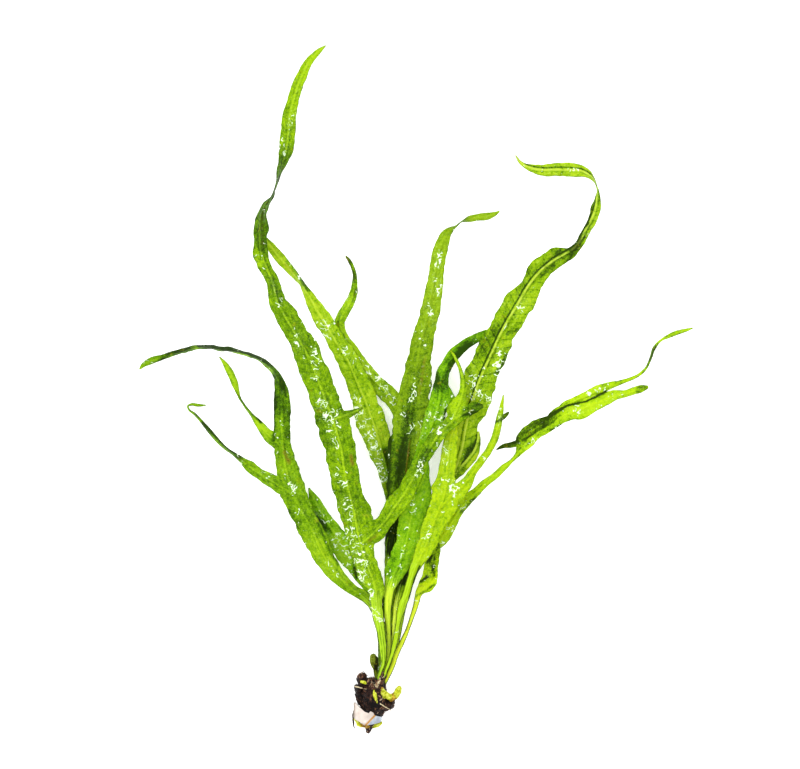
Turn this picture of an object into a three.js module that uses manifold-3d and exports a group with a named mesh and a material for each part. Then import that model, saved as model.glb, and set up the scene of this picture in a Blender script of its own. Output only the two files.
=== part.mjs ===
// Trident java fern, a bare-root water plant, lying on a flat surface as lifted out of its tank.
// Millimetres. X to the right and Y towards the frond tips as seen from above, Z up.
// The origin is on the flat underside of the rhizome, where the plant rests and is tied to wood.
import * as THREE from 'three';
import { mergeVertices } from 'three/addons/utils/BufferGeometryUtils.js';
import Module from 'manifold-3d';

const wasm = await Module();
wasm.setup();

// Driving dimensions of the leaf tissue
const BLADE_THICKNESS = 1.0;
const TIP_THICKNESS = 0.45;
const SHOULDER = 0.35; // where the thick middle of a blade starts, as a share of its half width
const BLADE_STEP = 3.4; // spacing of the sections along a frond

// Driving dimensions of the rhizome and its strip
const RHIZOME_SIDES = 18;
const RHIZOME_STEP = 1.1;
const STUB_SIDES = 8;
const KNOB_SIDES = 10;
const KNOB_RINGS = 7;
const BARK_BUMP = 0.22; // how far the bark stands in and out
const STRIP_CLEARANCE = 0.45; // between the strip and the rhizome
const STRIP_HEIGHT = 8.6;
const STRIP_ROUNDING = 1.6;
const STRIP_EDGE = 0.5; // how far the rounding takes the strip's edge in
const STRIP_LIFT = 0.05; // off the surface, so that the rhizome alone carries the crown
const CROWN_GAP = 0.45; // between the crown and the foot of each frond
const CROWN_POINT = new THREE.Vector3(1.5, 7.2, 0);
const CROWN_DIRECTION = new THREE.Vector3(0.35, 0.94, 0).normalize();

const UP = new THREE.Vector3(0, 0, 1);

// Every frond is a list of stations from its foot to its tip. A station holds
// x, y, z of the midrib, the blade's width to its left and right, then its roll
// in degrees (right margin up) and its fold in degrees (both margins up).

const TALL_LEFT = {
  main: [
    [0.9, 7.9, 7.2, 0.55, 0.55],
    [2.0, 11.5, 7.4, 0.7, 0.7],
    [1.9, 16, 7.6, 1.1, 1.1],
    [1.3, 21, 7.8, 1.3, 1.4],
    [0.4, 26, 8.0, 1.7, 1.6],
    [0.0, 30, 8.3, 1.9, 1.9],
    [-0.4, 34, 8.7, 2.4, 2.9],
    [-1.6, 38, 9.1, 3.6, 3.2],
    [-3.2, 42, 9.5, 3.7, 3.0],
    [-4.5, 46, 9.9, 3.7, 3.9],
    [-5.4, 50, 10.3, 3.7, 4.8],
    [-6.2, 54, 10.7, 4.0, 5.0],
    [-7.0, 58, 11.1, 4.5, 5.0],
    [-8.0, 62, 11.4, 4.3, 3.8],
    [-9.0, 66, 11.7, 4.6, 4.2],
    [-9.7, 70, 12.0, 4.9, 4.2],
    [-10.4, 75, 12.3, 4.8, 4.4],
    [-11.7, 80, 12.5, 5.0, 4.5],
    [-13.3, 85, 12.6, 4.9, 4.4],
    [-15.2, 90, 12.5, 4.3, 4.1],
    [-17.0, 95, 12.3, 4.2, 4.1],
    [-19.0, 100, 12.0, 4.2, 3.9],
    [-21.3, 105, 11.5, 3.7, 4.2],
    [-24.2, 110, 10.9, 2.9, 3.5],
    [-27.2, 115, 10.1, 2.9, 3.7],
    [-29.8, 120, 9.2, 2.4, 2.5],
    [-30.9, 125, 8.5, 1.8, 2.2],
    [-33.0, 130, 7.7, 2.3, 1.6],
    [-34.5, 134.5, 7.0, 2.4, 2.1],
    [-34.8, 138, 6.5, 1.9, 2.0, 20],
    [-34.7, 142, 5.9, 2.8, 3.0, 35],
    [-34.2, 146, 5.4, 2.8, 2.8, 60],
    [-32.8, 149, 4.9, 2.7, 2.7, 72],
    [-31.2, 151.4, 4.4, 2.6, 2.6, 85],
    [-30.2, 154, 3.9, 2.5, 2.5, 90],
    [-29.3, 157.5, 3.5, 2.3, 2.3, 105],
    [-28.3, 161, 3.2, 2.2, 2.2, 130],
    [-27.3, 164.5, 2.8, 2.2, 2.2, 155],
    [-26.5, 170, 2.4, 2.25, 2.25, 170],
    [-25.9, 176, 2.0, 2.0, 2.0, 175],
    [-24.4, 182, 1.7, 1.75, 1.75, 178],
    [-22.1, 188, 1.4, 1.45, 1.5, 180],
    [-19.9, 192, 1.1, 1.1, 1.2, 180],
    [-17.3, 194.8, 0.8, 0.75, 0.75, 180],
    [-15.2, 196.5, 0.5, 0.15, 0.15, 180],
  ],
  lobes: [
    // the long lobe that crosses the middle of the plant to the right
    [
      [-4.4, 47.2, 10.0, 0.8, 0.8],
      [-1.6, 49.7, 10.4, 2.2, 2.0],
      [1.3, 52.4, 10.8, 2.5, 2.4],
      [5.4, 58.2, 11.3, 2.9, 2.9],
      [8.5, 62.4, 11.8, 2.7, 2.8],
      [11.0, 66.9, 12.0, 2.4, 2.4],
      [13.6, 72.0, 12.0, 1.9, 1.9],
      [15.9, 75.9, 11.8, 2.1, 2.1],
      [18.3, 79.5, 11.4, 2.1, 2.1],
      [21.2, 82.5, 10.9, 1.9, 1.8],
      [24.5, 85.3, 10.4, 2.1, 2.0],
      [27.5, 87.0, 10.0, 1.8, 1.8],
      [29.8, 88.0, 9.7, 1.6, 1.5],
      [31.9, 88.4, 9.4, 0.4, 0.4],
    ],
    // its upright fork
    [
      [22.4, 83.2, 10.7, 0.8, 0.8],
      [23.9, 87.0, 10.5, 1.7, 1.8],
      [25.1, 90.0, 10.3, 2.0, 1.9],
      [25.9, 93.0, 10.2, 1.2, 1.1],
      [25.8, 96.3, 10.1, 0.8, 0.8],
      [25.0, 99.5, 10.0, 0.5, 0.5],
      [23.8, 102.3, 9.9, 0.45, 0.45],
      [22.1, 105.2, 9.7, 0.15, 0.15],
    ],
    // the short tooth on the right margin
    [
      [-12.6, 84.3, 12.5, 0.9, 0.9],
      [-9.6, 85.5, 12.5, 1.4, 1.4],
      [-7.4, 86.3, 12.2, 0.95, 0.95],
      [-5.6, 87.1, 11.9, 0.6, 0.6],
      [-4.0, 87.9, 11.6, 0.15, 0.15],
    ],
  ],
};

const INNER_LEFT = {
  main: [
    [1.5, 7.7, 2.9, 0.45, 0.45],
    [2.5, 14, 3.0, 0.55, 0.55],
    [3.4, 24, 3.1, 0.8, 0.8],
    [4.2, 34, 3.2, 0.9, 0.9],
    [4.9, 44, 3.2, 1.1, 1.1],
    [5.2, 54, 3.2, 1.8, 1.8],
    [5.0, 60, 3.2, 2.2, 2.2],
    [4.1, 65, 3.2, 2.4, 2.8],
    [3.0, 70, 3.3, 3.0, 3.2],
    [1.4, 75.5, 3.5, 3.9, 3.8],
    [0.1, 80, 3.7, 4.5, 4.0],
    [-1.6, 85, 4.0, 4.8, 3.8],
    [-3.4, 90, 4.3, 3.9, 3.4],
    [-5.1, 94, 4.5, 3.6, 3.6],
    [-7.0, 98.5, 4.7, 3.1, 3.6],
    [-9.2, 103, 4.8, 3.0, 3.4],
    [-11.8, 107, 4.9, 2.6, 3.2],
    [-14.2, 111, 4.9, 2.4, 3.0],
    [-16.6, 115, 4.8, 2.5, 2.6],
    [-18.9, 119, 4.6, 1.9, 1.8],
    [-21.0, 122.8, 4.3, 1.6, 1.6, 50],
    [-22.6, 125.3, 4.0, 1.6, 1.6, 85],
    [-24.4, 127.6, 3.6, 1.5, 1.5, 125],
    [-26.6, 130.2, 3.2, 1.4, 1.4, 155],
    [-28.9, 132.8, 2.8, 1.5, 1.5, 170],
    [-31.0, 135.3, 2.5, 1.4, 1.4, 175],
    [-32.8, 137.6, 2.2, 1.0, 1.0, 180],
    [-34.2, 139.8, 2.0, 0.2, 0.2, 180],
  ],
  lobes: [],
};

const SLIM_LEFT = {
  main: [
    [1.5, 7.7, 1.55, 0.5, 0.5],
    [3.4, 16, 1.5, 0.7, 0.7],
    [5.0, 28, 1.4, 0.8, 0.8],
    [6.5, 42, 1.4, 1.0, 1.0],
    [7.9, 56, 1.4, 1.6, 1.6],
    [8.4, 68, 1.4, 2.4, 2.4],
    [7.9, 78, 1.5, 3.0, 3.0],
    [6.2, 86.5, 1.7, 3.3, 3.2],
    [3.2, 92, 1.8, 3.0, 2.8],
    [-0.8, 96.2, 1.9, 3.0, 2.1],
    [-4.5, 101, 2.0, 3.0, 2.0],
    [-8.0, 106, 2.0, 3.0, 1.7],
    [-10.3, 110.8, 2.0, 2.4, 1.1],
    [-10.9, 113.5, 2.0, 1.8, 1.4],
    [-9.8, 116.3, 2.0, 1.5, 1.4],
    [-8.2, 119, 1.9, 1.4, 1.4],
    [-7.0, 122, 1.8, 1.1, 1.2],
    [-6.6, 125, 1.7, 0.8, 0.9],
    [-6.5, 127.5, 1.5, 0.6, 0.6],
    [-7.2, 130, 1.3, 0.55, 0.55],
    [-8.1, 131.8, 1.1, 0.5, 0.5],
    [-9.2, 133.3, 0.9, 0.25, 0.25],
  ],
  lobes: [],
};

const CENTRE = {
  main: [
    [1.5, 7.7, 4.35, 0.45, 0.45],
    [2.9, 14, 4.6, 0.6, 0.6],
    [3.3, 24, 4.9, 0.8, 0.8],
    [3.8, 34, 5.2, 1.1, 1.1],
    [4.0, 42, 5.5, 1.5, 1.4],
    [4.6, 48, 5.7, 2.0, 2.0],
    [5.6, 54, 5.9, 2.6, 2.6],
    [6.8, 60, 6.1, 3.6, 3.4],
    [7.8, 65, 6.3, 4.6, 4.2],
    [8.8, 70, 6.5, 5.4, 4.6],
    [9.5, 76, 6.7, 5.7, 4.8],
    [10.0, 82, 6.9, 5.4, 4.7],
    [10.5, 88, 7.1, 4.8, 4.8],
    [11.2, 93, 7.3, 4.0, 4.9],
    [11.8, 98, 7.4, 3.6, 4.7],
    [12.6, 104, 7.4, 2.8, 4.0],
    [13.8, 110, 7.3, 2.7, 3.8],
    [15.2, 116, 7.1, 2.2, 3.6],
    [16.4, 122, 6.7, 2.0, 3.2],
    [17.4, 128, 6.2, 1.8, 2.8],
    [18.6, 134, 5.5, 1.9, 2.4],
    [19.7, 137.5, 5.0, 1.7, 2.1],
    [21.2, 140.3, 4.4, 1.4, 1.5, 15],
    [22.4, 141.4, 4.1, 1.3, 1.3, 50],
    [24.0, 142.4, 3.6, 1.2, 1.2, 82],
    [25.8, 143.8, 3.1, 1.2, 1.2, 100],
    [28.0, 144.5, 2.5, 1.1, 1.1, 145],
    [31.0, 145.0, 1.9, 1.1, 1.1, 168],
    [34.0, 145.4, 1.3, 0.95, 0.95, 175],
    [35.6, 146.0, 0.9, 0.6, 0.6, 180],
    [36.9, 146.8, 0.5, 0.15, 0.15, 180],
  ],
  lobes: [],
};

const FORKED = {
  main: [
    [1.6, 7.7, 5.8, 0.5, 0.5],
    [3.1, 12, 5.95, 0.6, 0.6],
    [3.7, 16, 6.15, 0.7, 0.7],
    [3.7, 21, 6.35, 0.75, 0.8],
    [3.4, 26, 6.55, 1.0, 1.0],
    [3.5, 30, 6.75, 1.1, 1.1],
    [4.0, 34, 7.05, 1.6, 1.6],
    [5.2, 38, 7.45, 2.9, 2.8],
    [7.0, 42, 7.85, 3.2, 3.4],
    [8.6, 46.5, 8.2, 3.1, 4.2],
    [9.6, 51, 8.4, 3.4, 4.7],
    [10.5, 56, 8.5, 3.5, 4.9],
    [11.2, 61, 8.6, 3.8, 4.9],
    [12.0, 66, 8.7, 3.0, 3.6],
    [13.0, 70.5, 8.8, 2.4, 2.4],
    [14.2, 75, 8.9, 2.5, 2.4],
    [15.4, 79, 9.0, 2.6, 2.8],
    [16.6, 82.8, 9.0, 2.9, 3.1],
    [18.2, 87.5, 8.9, 2.9, 3.4],
    [18.9, 91.3, 8.7, 2.6, 3.6],
    [19.1, 95, 8.4, 2.0, 2.4],
    [19.9, 98.6, 8.0, 1.8, 2.0],
    [21.8, 101.8, 7.5, 1.7, 1.7],
    [24.2, 104.6, 6.9, 1.9, 1.6],
    [27.0, 106.9, 6.4, 1.6, 1.3],
    [30.0, 108.6, 5.9, 1.5, 1.3],
    [33.0, 110.2, 5.5, 1.0, 1.0],
    [35.5, 111.6, 5.2, 0.2, 0.2],
  ],
  lobes: [
    [
      [12.4, 63.0, 8.7, 1.6, 1.6],
      [14.0, 67.0, 8.8, 1.8, 1.8],
      [14.9, 69.8, 8.9, 1.0, 1.0],
      [15.3, 72.0, 9.0, 0.15, 0.15],
    ],
  ],
};

const FRONT = {
  main: [
    [2.2, 7.5, 7.2, 0.5, 0.5],
    [3.9, 12, 7.5, 0.55, 0.55],
    [5.2, 16, 7.8, 0.7, 0.7],
    [6.2, 20, 8.1, 0.9, 0.9],
    [7.0, 24, 8.4, 1.1, 1.1],
    [7.8, 28, 8.7, 1.4, 1.3],
    [8.7, 32, 9.0, 1.4, 1.3],
    [9.9, 36, 9.3, 1.4, 1.4],
    [11.3, 39.7, 9.6, 1.6, 1.6],
    [13.3, 43.7, 9.9, 2.2, 2.2],
    [15.0, 47.5, 10.1, 2.6, 3.1],
    [16.4, 51.5, 10.2, 2.9, 3.2],
    [18.0, 56, 10.2, 2.9, 4.4],
    [19.8, 60, 10.2, 3.3, 5.0],
    [20.6, 63.5, 10.1, 2.9, 3.4],
    [21.0, 67.5, 9.9, 2.8, 2.3],
    [21.3, 72, 9.7, 2.3, 2.5],
    [21.9, 76.5, 9.3, 2.0, 2.1],
    [22.6, 80, 9.0, 1.7, 1.7],
    [23.2, 83, 8.7, 1.0, 1.0],
    [23.7, 85.5, 8.5, 0.15, 0.15],
  ],
  lobes: [
    [
      [19.2, 58.0, 10.2, 1.0, 1.0],
      [22.6, 61.8, 10.2, 2.6, 3.0],
      [26.2, 65.0, 10.1, 1.6, 2.4],
      [28.6, 68.3, 9.9, 1.2, 1.2],
      [31.2, 71.8, 9.6, 1.05, 1.05],
      [33.7, 75.3, 9.2, 1.05, 1.05],
      [35.3, 78.5, 8.8, 1.05, 1.05],
      [36.1, 81.5, 8.4, 1.1, 1.1],
      [36.7, 84.3, 8.0, 0.95, 0.95],
      [37.2, 86.5, 7.7, 0.8, 0.8],
      [37.6, 89.0, 7.4, 0.5, 0.5],
      [38.0, 91.7, 7.1, 0.15, 0.15],
    ],
  ],
};

const TALL_RIGHT = {
  main: [
    [2.75, 7.2, 2.9, 0.45, 0.45],
    [4.4, 14, 3.1, 0.6, 0.6],
    [5.3, 22, 3.4, 0.7, 0.7],
    [6.3, 30, 4.1, 0.9, 0.9],
    [8.0, 38, 4.4, 1.0, 1.0],
    [11.0, 46, 4.8, 1.2, 1.2],
    [15.0, 54, 5.2, 1.6, 1.6],
    [19.2, 61, 5.6, 2.0, 2.0],
    [22.6, 67, 5.9, 1.9, 1.4],
    [24.3, 71.5, 6.2, 2.2, 1.0],
    [25.4, 75, 6.4, 2.6, 1.6],
    [26.0, 78, 6.5, 3.0, 3.1],
    [26.4, 80.5, 6.6, 3.3, 3.8],
    [26.9, 83, 6.7, 3.6, 3.7],
    [28.1, 88, 7.0, 4.2, 5.0],
    [29.6, 92.5, 7.3, 4.2, 5.2],
    [31.2, 97, 7.7, 4.9, 4.8],
    [33.2, 101.5, 8.1, 4.6, 4.5],
    [35.3, 106, 8.5, 4.5, 4.6],
    [37.4, 110.5, 8.8, 4.2, 4.5],
    [39.8, 114.8, 9.0, 4.2, 4.5],
    [42.4, 119.2, 9.1, 4.3, 4.5],
    [45.2, 124, 9.1, 2.4, 3.9],
    [48.3, 128, 8.9, 3.5, 3.2],
    [51.6, 130.9, 8.6, 3.5, 2.7],
    [55.0, 133.2, 8.1, 2.9, 2.5],
    [57.8, 134.7, 7.7, 1.1, 2.3],
    [60.0, 136.5, 7.3, 0.9, 1.6],
    [61.5, 139, 6.9, 0.9, 1.6],
    [62.9, 141.8, 6.4, 0.8, 1.7],
    [64.6, 144.8, 5.8, 1.1, 1.8],
    [65.6, 147.5, 5.3, 1.5, 1.5, 15],
    [66.1, 150.3, 4.8, 1.4, 1.4, 50],
    [66.2, 153, 4.4, 1.4, 1.4, 80],
    [65.3, 155.7, 4.0, 1.5, 1.5, 105],
    [63.4, 157.7, 3.6, 1.6, 1.6, 140],
    [61.0, 158.8, 3.3, 1.9, 1.9, 165],
    [58.0, 159.1, 3.0, 2.0, 2.0, 175],
    [54.0, 159.2, 2.6, 1.9, 1.9, 175],
    [50.0, 159.1, 2.1, 1.7, 1.7, 178],
    [47.0, 159.5, 1.7, 1.2, 1.2, 180],
    [44.5, 160.4, 1.2, 0.7, 0.7, 180],
    [42.8, 161.8, 0.8, 0.4, 0.4, 180],
    [41.7, 163.6, 0.5, 0.15, 0.15, 180],
  ],
  lobes: [
    // the short lobe low on the right margin
    [
      [22.2, 66.0, 5.8, 0.9, 0.9],
      [24.6, 69.3, 5.3, 1.9, 1.9],
      [27.0, 72.0, 4.9, 1.8, 2.0],
      [29.3, 75.0, 4.7, 1.4, 1.6],
      [30.4, 78.0, 4.7, 0.8, 0.8],
      [30.6, 80.8, 4.7, 0.15, 0.15],
    ],
  ],
};

const LOW_RIGHT = {
  main: [
    [2.75, 7.2, 4.35, 0.45, 0.45],
    [5.0, 14, 4.55, 0.6, 0.6],
    [6.9, 22, 4.4, 0.7, 0.7],
    [8.1, 28, 4.0, 0.8, 0.8],
    [9.9, 34, 3.3, 0.8, 0.8],
    [12.2, 40, 2.8, 0.9, 0.9],
    [15.2, 44.5, 2.8, 1.2, 1.2],
    [19.0, 48, 2.9, 1.8, 1.9],
    [21.2, 51, 3.0, 2.2, 1.9],
    [22.9, 54, 3.1, 2.4, 1.6],
    [25.0, 57.3, 3.2, 2.2, 1.3],
    [27.6, 60.2, 3.3, 1.9, 1.3],
    [30.3, 62.8, 3.4, 1.4, 1.1],
    [32.5, 64.8, 3.5, 1.35, 0.9],
    [35.3, 67.2, 3.5, 1.0, 0.9],
    [38.2, 70, 3.5, 0.85, 0.9],
    [40.8, 72.3, 3.5, 0.55, 0.55],
    [42.4, 74.0, 3.6, 0.9, 0.8, 0, 10],
    [43.7, 75.7, 3.8, 2.4, 1.4, 0, 20],
    [45.2, 77.7, 4.0, 4.2, 2.3, 0, 25],
    [47.3, 79.5, 4.1, 4.3, 1.7, 0, 28],
    [50.0, 81.3, 4.1, 3.8, 1.7, 0, 25],
    [53.0, 82.9, 4.0, 3.4, 1.5, 0, 20],
    [55.5, 84.8, 3.8, 3.6, 1.7, 0, 15],
    [58.2, 86.4, 3.5, 2.7, 2.5, 0, 10],
    [61.5, 87.6, 3.2, 2.6, 2.9, 0, 8],
    [65.0, 88.9, 2.9, 2.6, 2.1, 0, 8],
    [68.5, 90.3, 2.5, 2.1, 1.9, 0, 8],
    [71.5, 91.5, 2.1, 1.7, 1.4, 0, 5],
    [74.5, 92.1, 1.6, 1.0, 1.1],
    [77.5, 93.0, 1.2, 1.1, 1.1],
    [80.0, 93.7, 0.8, 1.0, 1.0],
    [81.5, 94.1, 0.55, 0.4, 0.4],
  ],
  lobes: [
    // the upper lobe, drawn out into a thread-like turned tip
    [
      [53.6, 85.0, 4.3, 0.9, 0.9],
      [56.5, 88.2, 4.5, 1.4, 1.2],
      [59.5, 90.0, 4.3, 1.1, 1.1],
      [63.0, 91.5, 4.0, 1.2, 1.0],
      [66.5, 93.2, 3.7, 1.4, 1.4],
      [69.5, 94.2, 3.4, 1.2, 1.0],
      [72.5, 95.2, 3.1, 0.8, 0.7],
      [75.5, 96.2, 2.8, 0.55, 0.5],
      [78.5, 97.6, 2.5, 0.5, 0.5, 30],
      [80.8, 99.8, 2.2, 0.9, 0.9, 75],
      [82.2, 102.8, 1.9, 0.9, 0.9, 80],
      [83.2, 105.6, 1.6, 0.9, 0.9, 65],
      [84.9, 107.8, 1.3, 0.8, 0.8, 85],
      [87.2, 109.1, 1.1, 0.7, 0.7, 140],
      [90.0, 110.3, 0.85, 0.65, 0.65, 170],
      [92.5, 111.0, 0.65, 0.5, 0.5, 180],
      [94.9, 111.8, 0.5, 0.15, 0.15, 180],
    ],
    // the thin side lobe that points back to the left
    [
      [46.2, 79.0, 4.3, 0.8, 0.8],
      [43.0, 77.6, 4.2, 1.0, 0.9],
      [40.3, 76.7, 3.9, 0.8, 0.8],
      [38.0, 76.3, 3.5, 0.6, 0.6],
      [35.9, 75.3, 3.1, 0.15, 0.15],
    ],
  ],
};

const LOW_LEFT = {
  main: [
    [0.25, 8.15, 4.35, 0.45, 0.45],
    [0.8, 13, 4.5, 0.6, 0.6],
    [0.8, 18, 4.6, 0.8, 0.8],
    [0.2, 24, 4.7, 0.9, 0.9],
    [-1.3, 28.4, 4.8, 1.0, 1.0],
    [-3.8, 31, 5.0, 1.1, 1.2],
    [-6.8, 33.1, 5.2, 1.4, 1.5],
    [-10.0, 36, 5.4, 2.2, 1.8],
    [-13.0, 39.5, 5.6, 2.7, 2.3],
    [-15.6, 43.3, 5.7, 3.1, 2.9],
    [-17.6, 47.5, 5.8, 3.6, 3.3],
    [-19.6, 52, 5.9, 3.8, 3.0],
    [-22.2, 56.5, 5.9, 3.4, 3.3],
    [-24.3, 61, 5.9, 3.9, 3.9],
    [-26.0, 65.5, 5.8, 3.6, 3.9],
    [-27.2, 70, 5.7, 2.9, 3.5],
    [-27.9, 75, 5.6, 2.5, 2.7],
    [-28.2, 80, 5.5, 2.4, 2.4],
    [-28.3, 85, 5.4, 2.3, 2.6],
    [-28.4, 90, 5.3, 2.3, 2.5],
    [-28.8, 94, 5.1, 1.8, 2.1, 20],
    [-29.6, 97, 4.9, 1.8, 2.0, 50],
    [-31.3, 99.5, 4.6, 1.9, 1.9, 62],
    [-34.0, 101.7, 4.3, 1.8, 1.8, 68],
    [-37.5, 103.6, 4.0, 1.8, 1.8, 75],
    [-42.0, 104.8, 3.6, 1.8, 1.8, 78],
    [-47.0, 105.6, 3.2, 1.7, 1.7, 72],
    [-52.0, 106.2, 2.8, 1.6, 1.6, 75],
    [-57.0, 105.1, 2.3, 1.4, 1.4, 62],
    [-61.0, 104.1, 1.9, 1.2, 1.2, 50],
    [-64.5, 102.9, 1.5, 1.0, 1.0, 35],
    [-67.5, 102.0, 1.1, 1.0, 1.0, 10],
    [-69.8, 100.8, 0.75, 0.7, 0.7],
    [-71.1, 99.3, 0.5, 0.15, 0.15],
  ],
  lobes: [
    // the lower side lobe, whose tip turns back on itself
    [
      [-24.8, 61.6, 5.8, 1.0, 1.0],
      [-28.0, 63.8, 5.6, 2.0, 1.9],
      [-31.0, 65.7, 5.3, 2.0, 2.1],
      [-34.5, 67.9, 4.9, 1.8, 1.6],
      [-38.0, 70.2, 4.4, 1.6, 1.6],
      [-40.8, 72.6, 4.0, 1.1, 1.1, 40],
      [-43.5, 74.5, 3.6, 1.2, 1.2, 65],
      [-46.5, 76.8, 3.2, 1.2, 1.2, 60],
      [-49.3, 80.0, 2.8, 1.1, 1.1, 50],
      [-52.0, 83.2, 2.4, 0.9, 0.9, 60],
      [-54.6, 86.0, 2.0, 0.7, 0.7, 70],
      [-56.2, 87.3, 1.7, 0.5, 0.5, 60],
      [-56.6, 88.3, 1.4, 0.35, 0.35, 40],
      [-55.6, 88.8, 1.1, 0.4, 0.4, 20],
      [-53.6, 88.6, 0.8, 0.45, 0.45],
      [-51.1, 88.6, 0.5, 0.15, 0.15],
    ],
    // the upper side lobe
    [
      [-27.6, 75.0, 5.5, 0.9, 0.9],
      [-30.3, 77.9, 5.3, 2.0, 2.0],
      [-32.8, 80.1, 5.0, 1.7, 1.6],
      [-35.0, 82.8, 4.6, 1.2, 1.1],
      [-37.2, 85.5, 4.2, 0.9, 0.9, 55],
      [-39.7, 88.7, 3.8, 0.8, 0.8, 80],
      [-41.2, 91.3, 3.4, 0.8, 0.8, 110],
      [-41.9, 93.5, 3.0, 0.85, 0.85, 145],
      [-42.8, 96.0, 2.5, 1.0, 1.0, 168],
      [-44.2, 99.0, 1.8, 0.95, 0.95, 175],
      [-45.6, 101.3, 1.1, 0.6, 0.6, 180],
      [-47.1, 103.1, 0.5, 0.15, 0.15, 180],
    ],
  ],
};

const UNDER_LEFT = {
  main: [
    [0.25, 8.15, 2.9, 0.45, 0.45],
    [0.7, 14, 2.9, 0.6, 0.6],
    [0.4, 21, 2.9, 0.7, 0.7],
    [-0.5, 28, 2.8, 0.9, 0.9],
    [-2.4, 33.5, 2.7, 1.4, 1.4],
    [-5.0, 38.5, 2.6, 2.0, 2.2],
    [-7.9, 43.5, 2.6, 2.0, 2.8],
    [-11.0, 48, 2.6, 3.0, 2.6],
    [-14.0, 52.3, 2.6, 3.0, 2.2],
    [-16.6, 56.5, 2.6, 2.4, 1.9],
    [-18.6, 60.3, 2.5, 1.6, 1.3],
    [-20.3, 63.8, 2.4, 0.2, 0.2],
  ],
  lobes: [],
};

const YOUNG = {
  main: [
    [3.1, 6.9, 5.8, 0.6, 0.6],
    [4.5, 10, 5.9, 0.7, 0.7],
    [5.9, 14, 6.0, 0.75, 0.75],
    [7.4, 18, 6.0, 0.8, 0.8],
    [8.8, 22, 6.0, 0.75, 0.75],
    [10.2, 26, 6.0, 0.75, 0.75],
    [11.5, 29.5, 5.9, 0.85, 0.85],
    [12.8, 32.5, 5.8, 1.1, 1.2, 0, 10],
    [14.3, 35.0, 5.7, 1.8, 3.2, 0, 22],
    [15.6, 37.7, 5.5, 2.0, 3.2, 0, 24],
    [16.4, 40.5, 5.3, 2.3, 2.2, 0, 22],
    [17.0, 43.2, 5.1, 2.0, 2.0, 0, 15],
    [17.7, 45.8, 4.9, 1.2, 1.5, 0, 8],
    [18.4, 48.2, 4.8, 0.2, 0.2],
  ],
  lobes: [],
};

// A young leaf still rolled up like a small spoon
const CROZIER = {
  main: [
    [-0.25, 8.3, 6.0, 0.5, 0.5],
    [-0.4, 9.6, 6.3, 0.6, 0.6],
    [-0.7, 11.2, 6.7, 1.1, 1.0],
    [-0.9, 12.7, 6.9, 1.2, 1.1],
    [-0.8, 13.9, 6.9, 0.6, 0.5],
  ],
  lobes: [],
};

// A closed solid from one merged list of points and faces
function solid(geometry) {
  geometry.deleteAttribute('normal');
  geometry.deleteAttribute('uv');
  const merged = mergeVertices(geometry, 1e-4);
  return new wasm.Manifold(new wasm.Mesh({
    numProp: 3,
    vertProperties: new Float32Array(merged.attributes.position.array),
    triVerts: new Uint32Array(merged.index.array),
  }));
}

// The middle, sizes and turned axes at one place along a list of stations
function sectionAt(rows, spine, place) {
  const last = rows.length - 1;
  const index = Math.min(Math.floor(place), last - 1);
  const share = place - index;
  const blend = (column) => THREE.MathUtils.lerp(rows[index][column] ?? 0, rows[index + 1][column] ?? 0, share);
  const along = spine.getTangent(place / last);
  const level = new THREE.Vector3().crossVectors(along, UP).normalize();
  const raised = new THREE.Vector3().crossVectors(level, along);
  const roll = THREE.MathUtils.degToRad(blend(5));
  return {
    middle: spine.getPoint(place / last),
    side: level.clone().multiplyScalar(Math.cos(roll)).addScaledVector(raised, Math.sin(roll)),
    face: raised.clone().multiplyScalar(Math.cos(roll)).addScaledVector(level, -Math.sin(roll)),
    left: blend(3),
    right: blend(4),
    fold: THREE.MathUtils.degToRad(blend(6)),
  };
}

// Sweep a closed outline, given as side and face offsets, along a list of stations
function sweep(rows, outline, step) {
  const spine = new THREE.CatmullRomCurve3(rows.map(([x, y, z]) => new THREE.Vector3(x, y, z)));
  const places = [0];
  for (let i = 0; i < rows.length - 1; i += 1) {
    const parts = Math.max(1, Math.round(spine.points[i].distanceTo(spine.points[i + 1]) / step));
    for (let part = 1; part <= parts; part += 1) places.push(i + part / parts);
  }
  const rings = places.map((place) => {
    const section = sectionAt(rows, spine, place);
    return outline(section).map(([across, up]) => section.middle.clone()
      .addScaledVector(section.side, across)
      .addScaledVector(section.face, up));
  });
  const count = rings[0].length;
  const faces = [];
  for (let ring = 0; ring < rings.length - 1; ring += 1) {
    for (let i = 0; i < count; i += 1) {
      const here = ring * count + i;
      const beside = ring * count + (i + 1) % count;
      faces.push(here, here + count, beside + count, here, beside + count, beside);
    }
  }
  const end = (rings.length - 1) * count;
  for (let i = 1; i < count - 1; i += 1) {
    faces.push(0, i, i + 1, end, end + i + 1, end + i);
  }
  const geometry = new THREE.BufferGeometry().setFromPoints(rings.flat());
  geometry.setIndex(faces);
  return solid(geometry);
}

// A leaf's outline: sharp margins, thick along the midrib, both halves folded up by the same angle
function bladeOutline({ left, right, fold }) {
  const half = THREE.MathUtils.clamp(left + right, TIP_THICKNESS, BLADE_THICKNESS) / 2;
  const out = Math.cos(fold);
  const up = Math.sin(fold);
  const innerRight = right * SHOULDER;
  const innerLeft = left * SHOULDER;
  return [
    [right * out, right * up],
    [innerRight * out, innerRight * up + half],
    [-innerLeft * out, innerLeft * up + half],
    [-left * out, left * up],
    [-innerLeft * out, innerLeft * up - half],
    [innerRight * out, innerRight * up - half],
  ];
}

// A frond is its main blade with every lobe grown on
function frondSolid({ main, lobes }) {
  return lobes.reduce(
    (whole, lobe) => whole.add(sweep(lobe, bladeOutline, BLADE_STEP)),
    sweep(main, bladeOutline, BLADE_STEP),
  );
}

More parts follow.
